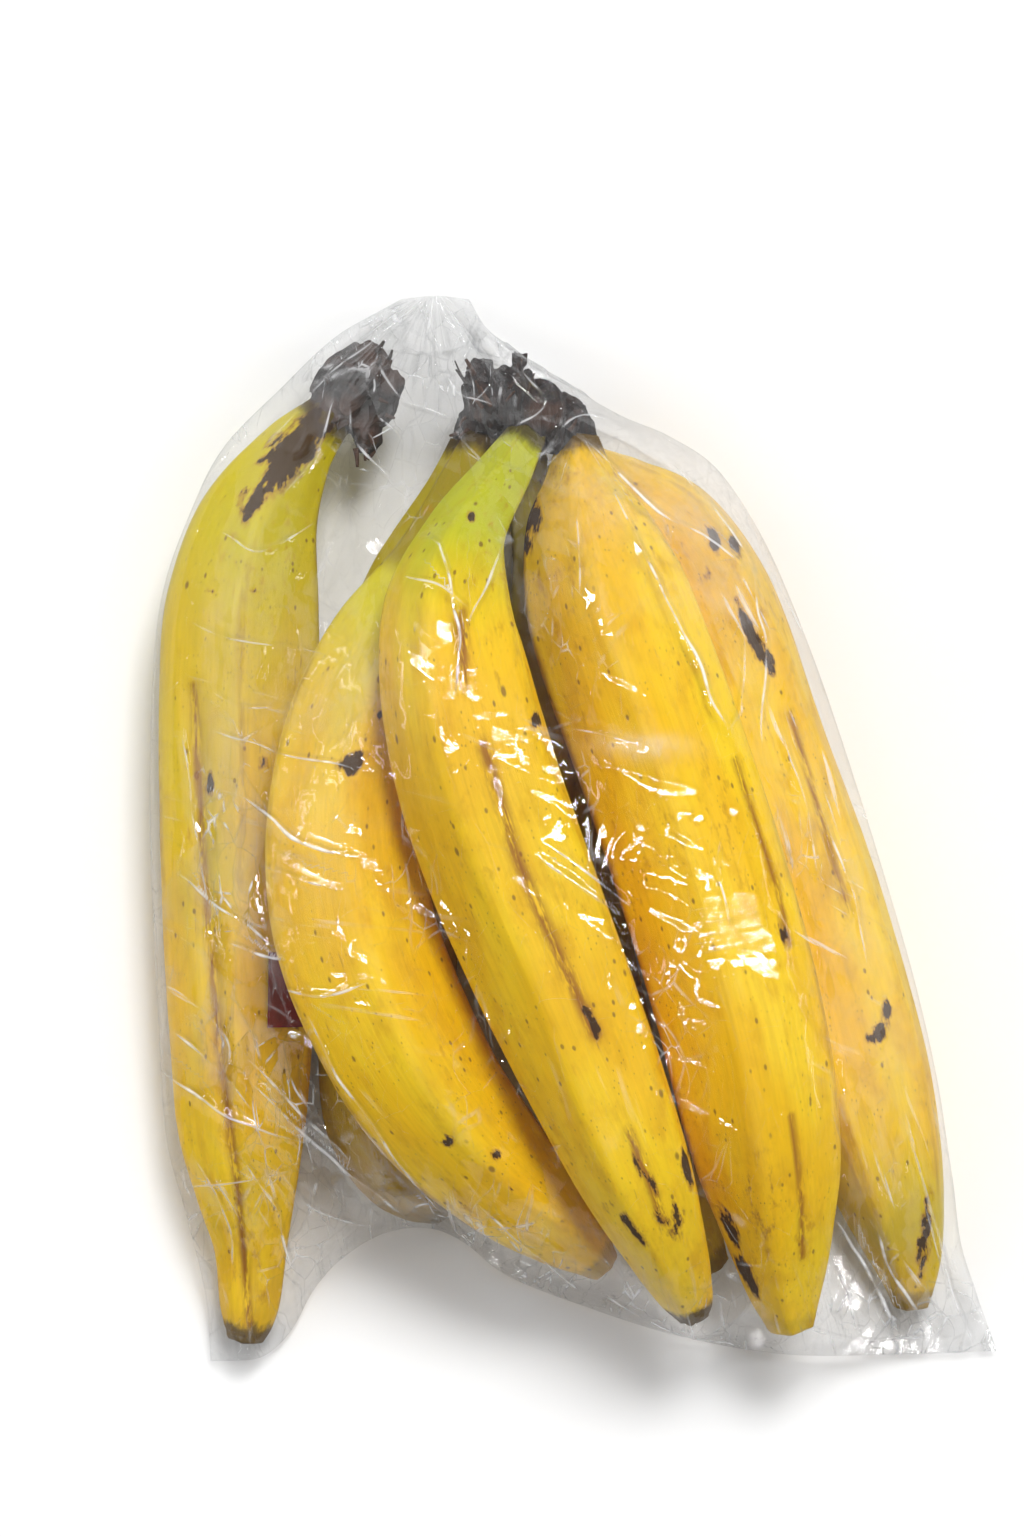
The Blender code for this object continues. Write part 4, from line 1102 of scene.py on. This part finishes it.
def add_film(crown_points):
    """The film over the plantains, with its folds, pleats, crinkles and hem."""
    plan, share, along = bag_outline(ROWS, COLUMNS)
    x, y = plan[..., 0], plan[..., 1]
    raised = covered_heights(plan, crown_points)
    height = stretched_film(raised, along)
    field = fold_field(x, y)
    lift, crease = field["lift"], field["crease"]
    # Pleats run into the gathered neck.
    neck_x, neck_y = x - NECK_MIDDLE[0], y - NECK_MIDDLE[1]
    from_mouth, bearing = np.hypot(neck_x, neck_y), np.arctan2(neck_y, neck_x)
    gather = smooth_step(62.0, 14.0, from_mouth)
    pleat = creased(as_points(bearing * 5.5, from_mouth * 0.035, 0.0), 2, 301)
    lift += 3.4 * pleat * gather
    crease = np.maximum(crease, pleat ** 2 * gather)
    # The hem is crinkled, most of all in its notch, and its crease value darkens it all over: painted
    # shade.
    hem = smooth_step(0.90, 0.985, along[:, None] + 0 * x)
    across = share[None, :] + 0 * x
    frill = creased(as_points(across * 46, y * 0.035, 0.0), 2, 307)
    notch = np.exp(-((x + 55) / 45) ** 2)
    lift += frill * hem * (1.2 + 1.6 * notch)
    crease = np.maximum(crease, (0.45 + 0.4 * notch) * frill ** 2 * hem + 0.30 * hem)
    # Fine crinkles everywhere that nothing holds the film smooth.
    loose = smooth_step(0.6, 6.0, height - raised)
    warp = layered(as_points(x * 0.03, y * 0.03, 0.0), 2, 311) * 8
    crinkle = creased(as_points((x + warp) * 0.085, (y - warp) * 0.06, 2.0), 3, 313)
    sweep = creased(as_points((x - y * 0.4 + warp) * 0.030, (y + x * 0.5) * 0.055, 8.0), 2, 317)
    lift += crinkle * (0.16 + 0.55 * loose) + sweep * (0.5 + 1.6 * loose)
    crease = np.maximum(crease, crinkle ** 3 * (0.08 + 0.25 * loose))
    crease = np.maximum(crease, sweep ** 6 * (0.10 + 0.40 * loose))
    # Streaks also run into the neck and across the hem.
    comb, combed = field["comb"], field["combed"]
    into_neck = as_points(from_mouth * 0.03, bearing * 15.0, 90.0)
    along_hem = as_points(y * 0.05, across * 95, 97.0)
    comb = np.where((gather > combed)[..., None], into_neck, comb)
    comb = np.where((hem > np.maximum(gather, combed))[..., None], along_hem, comb)
    combed = np.maximum(combed, 0.7 * np.maximum(gather, hem))
    crumple = crumpled(x, y, height, loose, gather, hem)
    inward = np.minimum(share, 1 - share)[None, :] * np.minimum(along, 1 - along)[:, None]
    height = height + lift * np.maximum(smooth_step(0.0, 0.004, inward), 0.25)
    # The crease value runs high along the film's edges, which paints a grey edge line with some white:
    # painted shade and painted highlight.
    rim = np.full(x.shape, FAR)
    for line in (plan[:, :1], plan[:, -1:], plan[:1], plan[-1:]):
        rim = np.minimum(rim, np.linalg.norm(plan - line, axis=2))
    crease = np.maximum(crease, 0.9 * np.exp(-(rim / 0.7) ** 2))
    top = np.dstack([plan, height]).reshape(-1, 3)
    obj = add_mesh("bag_film", place(top), grid_faces(ROWS, COLUMNS, False)[:, ::-1], {
        "sheet": top * MM, "crease": crease.ravel(), "crumple": crumple.ravel(),
        "comb": comb.reshape(-1, 3), "combed": combed.ravel(),
        **{key: field[key].ravel() for key in ("gap", "strength", "veil")},
    })
    obj.data.materials.append(film_material("clear_film_top"))
    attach(obj, "root")
    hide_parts("clear_bag")


def add_underside():
    """The same film under the plantains, which curls up to meet the top at its edges."""
    plan, share, along = bag_outline(UNDER_ROWS, UNDER_COLUMNS)
    width = np.linalg.norm(plan[:, -1] - plan[:, 0], axis=1)[:, None]
    inward = np.minimum(share, 1 - share)[None, :] * width
    near = np.clip(1 - inward / 14.0, 0, 1) ** 2
    height = UNDER_HEIGHT + (edge_heights(along)[:, None] - UNDER_HEIGHT) * near
    folds = creased(as_points(plan[..., 0] * 0.08, plan[..., 1] * 0.08, 5.0), 2, 401)
    skin = np.dstack([plan, height + 0.3 * folds]).reshape(-1, 3)
    crease = 0.25 * folds.ravel() ** 3
    faces = grid_faces(UNDER_ROWS, UNDER_COLUMNS, False)
    obj = add_mesh("bag_film_underside", place(skin), faces, {
        "sheet": skin * MM, "crease": crease, "crumple": np.full(len(skin), 0.12),
    })
    obj.data.materials.append(film_material("clear_film_under"))
    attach(obj, "root")


# The scene ------------------------------------------------------------------------------------

YELLOW = dict(gold=(0.87, 0.515, 0.003), pale=(0.93, 0.63, 0.013), deep=(0.69, 0.36, 0.003))
# Painted shade: the two plantains lying underneath get darker copies of the yellow peel.
SHADED_UNDER_YELLOW = dict(gold=(0.46, 0.27, 0.010), pale=(0.55, 0.36, 0.016), deep=(0.30, 0.16, 0.008))
SHADED_UNDER_YELLOW_CENTRE = dict(gold=(0.50, 0.29, 0.010), pale=(0.60, 0.38, 0.016), deep=(0.34, 0.18, 0.008))
LIME = (0.50, 0.51, 0.020)
OLIVE = (0.48, 0.38, 0.012)
DULL_OLIVE = (0.48, 0.38, 0.015)
FAR_NECK = (0.60, 0.50, 0.010)
# The top left plantain's root colour is painted shade laid on its neck end.
LEFT_NECK, LEFT_NECK_SHADE = (0.62, 0.54, 0.02), (0.34, 0.26, 0.014)
PEELS = {
    "far_left": dict(neck=FAR_NECK, **YELLOW),
    "top_left": dict(neck=LEFT_NECK, root=LEFT_NECK_SHADE, **YELLOW),
    "top_centre": dict(neck=LIME, **YELLOW),
    "top_right": dict(neck=OLIVE, **YELLOW),
    "far_right": dict(neck=OLIVE, **YELLOW),
    "under_left": dict(neck=DULL_OLIVE, **SHADED_UNDER_YELLOW),
    "under_centre": dict(neck=DULL_OLIVE, **SHADED_UNDER_YELLOW_CENTRE),
}
for number, (ending, colours) in enumerate(PEELS.items()):
    add_plantain("plantain_" + ending, peel_material("peel_" + ending, **colours), number)

CROWN_FINISH = crown_material()
# How far the stump of each plantain reaches into the centre crown.
STUMP_REACH = {
    "plantain_under_left": 15, "plantain_under_centre": 17, "plantain_far_right": 9,
    "plantain_top_left": 17, "plantain_top_right": 12, "plantain_top_centre": 19,
}
CROWN_MIDDLE = -17.0
# Lobes on the centre crown: points of each tube, and its radii.
CENTRE_LOBES = (
    (((-31, 116, 34), (-28.5, 124, 36), (-28.5, 137, 32)), (4.6, 6, 3.4)),
    (((-27, 118, 44), (-22, 126, 46), (-22.5, 134, 42)), (4.6, 6, 2.6)),
    (((-12, 116, 50), (-9, 122, 48), (-11, 130, 42)), (4.8, 6.2, 3)),
    (((-6, 109, 44), (-5, 116, 45), (-7.5, 124, 40)), (3.4, 5.4, 3)),
    (((-29, 117, 24), (-16, 121, 26), (-6, 118, 25)), (6, 9, 5.4)),
    (((-28, 119, 40), (-18, 123, 44), (-8, 119, 40)), (5, 8, 4.8)),
    (((-19, 129, 44), (-17.6, 134.5, 45), (-17, 138.5, 44)), (2.6, 2, 2.4)),
)
# Torn fibres: where each starts, which way it goes, its radius, and how pale it is.
CENTRE_SHREDS = (
    ((-29, 127, 46), (-3, 8, 4), 0.6, 0.8),
    ((-25, 122, 50), (-5, 7, 3), 0.7, 1),
    ((-22, 124, 50), (4, 6, 3), 0.5, 0.9),
    ((-12, 124, 54), (2, 7, 3), 0.5, 0.4),
    ((-5, 119, 52), (4, 4, 1), 0.5, 0.3),
    ((-33, 117, 44), (-5, -3, 3), 0.6, 0.7),
    ((-17, 132, 46), (2, 4.5, 0.5), 0.6, 1),
    ((-32, 130, 36), (-4, 6, 2), 0.5, 0.2),
)


def neck_stumps():
    """A tube from each neck into the centre crown."""
    for name, reach in STUMP_REACH.items():
        x, y, z, radius = SETTLED[name][0]
        lean = (CROWN_MIDDLE - x) * 0.35
        yield (
            ((x, y - 5.0, z), (x + lean * 0.3, y + reach * 0.4, z), (x + lean, y + reach, z - 2.0)),
            (radius * 0.85, radius * 0.98, radius * 0.50),
        )


add_crown(
    "crown_centre_fibres", (*neck_stumps(), *CENTRE_LOBES), CENTRE_SHREDS, (0.0, 1.0, 0.0), 3,
    "crown_centre",
)

# The left crown is laid out from its neck: forward, sideways and up.
neck = SETTLED["plantain_far_left"][0, :3]
forward = (neck - SETTLED["plantain_far_left"][1, :3]) * (1, 1, 0)
forward /= np.linalg.norm(forward)
AXES = np.array((forward, (forward[1], -forward[0], 0.0), (0.0, 0.0, 1.0)))
LEFT_LOBES = (
    (((-5, 0, 0), (6, 0, 0), (23, -1, 1)), (7, 9.4, 5)),
    (((1, 6, 0), (8, 8, 1), (21, 7, 0)), (5, 6.6, 3.6)),
    (((1, -5, 0), (8, -6, 1), (19, -5, 0)), (4.6, 6, 3.4)),
    (((3, 10, 0), (1, 13, 1), (-3, 15, 0)), (4.4, 4.4, 2)),
    (((2, 3, 6), (9, 2, 7), (20, 0, 5)), (4, 5.4, 3)),
)
LEFT_SHREDS = (
    ((0, 13, 5), (-4, 6, 0), 0.8, 0.9),
    ((0, 14, 2), (-5, 3, 0), 0.9, 1),
    ((8, 10, 6), (2, 6, 0), 0.6, 0.6),
    ((19, 0, 8), (5, 0, 2), 0.6, 0.2),
    ((6, -8, 6), (3, -4, 0), 0.5, 0.3),
)
add_crown(
    "crown_left_fibres", [(neck + np.array(path) @ AXES, radii) for path, radii in LEFT_LOBES],
    [(neck + spot @ AXES, reach @ AXES, *more) for spot, reach, *more in LEFT_SHREDS],
    forward, 8, "crown_left",
)


def crown_tops():
    """The highest point of each small square of the crowns, a little lowered."""
    found = []
    for name in ("crown_centre_fibres", "crown_left_fibres"):
        mesh = bpy.data.objects[name].data
        points = np.empty(len(mesh.vertices) * 3)
        mesh.vertices.foreach_get("co", points)
        points = points.reshape(-1, 3) / MM - SHIFT
        cell = np.round(points[:, :2] / CROWN_CELL)
        order = np.lexsort((points[:, 2], cell[:, 1], cell[:, 0]))
        cell, points = cell[order], points[order]
        last = np.any(cell[1:] != cell[:-1], axis=1)
        found.append(points[np.append(last, True)])
    return np.vstack(found) - (0, 0, CROWN_SINK)


add_film(crown_tops())
add_underside()

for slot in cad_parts["fruit_sticker"].material_slots:
    slot.material = sticker_material()

FLOOR_REACH = 6
FLOOR_DROP = 0.0002
floor = add_mesh("floor", FLOOR_REACH * np.array([(-1, -1, 0), (1, -1, 0), (1, 1, 0), (-1, 1, 0)]),
                 [(0, 1, 2, 3)])
floor.location.z = -FLOOR_DROP
floor.data.materials.append(floor_material())


def add_light(light, at, aim):
    obj = bpy.data.objects.new(light.name, light)
    obj.location = at
    obj.rotation_euler = Vector(aim).to_track_quat("-Z", "Y").to_euler()
    obj.visible_camera = False
    bpy.context.scene.collection.objects.link(obj)
    return obj


sun = bpy.data.lights.new("key", "SUN")
sun.energy = 2.55
sun.angle = math.radians(20.0)
add_light(sun, (0.0, 0.0, 0.0), (-0.34, -1.02, -1.55)).visible_glossy = False

AIM = (0.0, 0.0, 0.03)
# Panels: name, place, width and height, power, whether it lights things and is mirrored in them.
PANELS = (
    ("top", (0.1, 0.1, 2.7), (2.4, 2.4), 5, True, False),
    ("left_strip", (-1.05, 0.25, 1.10), (0.12, 1), 4.2, True, False),
    ("right_strip", (0.95, 0.1, 1.2), (0.12, 0.9), 2.6, True, False),
    ("low_left", (-1.60, 0.10, 0.50), (0.9, 0.06), 1.6, True, True),
    ("low_right", (1.60, 0, 0.55), (0.9, 0.06), 1.5, True, True),
    ("near", (0.15, -1, 1.35), (0.8, 0.10), 1.6, True, False),
    ("glint_far", (-0.25, 1.05, 1.55), (0.70, 0.05), 15, False, True),
    ("glint_left", (-1.05, 0.25, 1.15), (0.04, 0.9), 16, False, True),
    ("glint_left_high", (-0.62, -0.20, 1.65), (0.16, 0.16), 6, False, True),
    ("glint_right", (0.90, 0.1, 1.25), (0.035, 0.9), 12, False, True),
    ("glint_right_high", (0.45, 0.45, 1.75), (0.06, 0.30), 4.5, False, True),
    ("glint_near", (0.15, -1, 1.35), (0.8, 0.035), 5, False, True),
    ("panel_left", (-1.20, 0.70, 1.70), (0.5, 0.5), 7, False, True),
    ("glint_over_left", (-0.36, 0.42, 1.90), (0.05, 0.26), 4, False, True),
    ("glint_over_right", (0.30, -0.36, 1.90), (0.22, 0.04), 3, False, True),
)
for name, at, size, power, lit, mirrored in PANELS:
    panel = bpy.data.lights.new(name, "AREA")
    panel.shape = "RECTANGLE"
    panel.size, panel.size_y = size
    panel.energy = power
    hung = add_light(panel, at, Vector(AIM) - Vector(at))
    hung.visible_diffuse = lit
    hung.visible_glossy = mirrored

# The surroundings light things dimly, but look pale.
world = bpy.data.worlds.new("studio")
world.use_nodes = True
nodes, links = world.node_tree.nodes, world.node_tree.links
sky, seen = nodes["Background"], nodes.new("ShaderNodeMapRange")
sky.inputs["Color"].default_value = (0.93, 0.94, 0.96, 1.0)
seen.inputs["To Min"].default_value = 0.15
seen.inputs["To Max"].default_value = 0.85
links.new(nodes.new("ShaderNodeLightPath").outputs["Is Camera Ray"], seen.inputs["Value"])
links.new(seen.outputs[0], sky.inputs["Strength"])
bpy.context.scene.world = world
bpy.context.scene.view_settings.view_transform = "Standard"

CAMERA_HEIGHT = 2.2
LOOKED_AT = 0.05
VIEW_HEIGHT = 0.4454
SENSOR = 36.0
camera = bpy.data.cameras.new("camera")
camera.sensor_width = SENSOR
camera.lens = SENSOR * (CAMERA_HEIGHT - LOOKED_AT) / VIEW_HEIGHT
eye = bpy.data.objects.new("camera", camera)
eye.location = (-0.01856, 0.01798, CAMERA_HEIGHT)
bpy.context.scene.collection.objects.link(eye)
bpy.context.scene.camera = eye
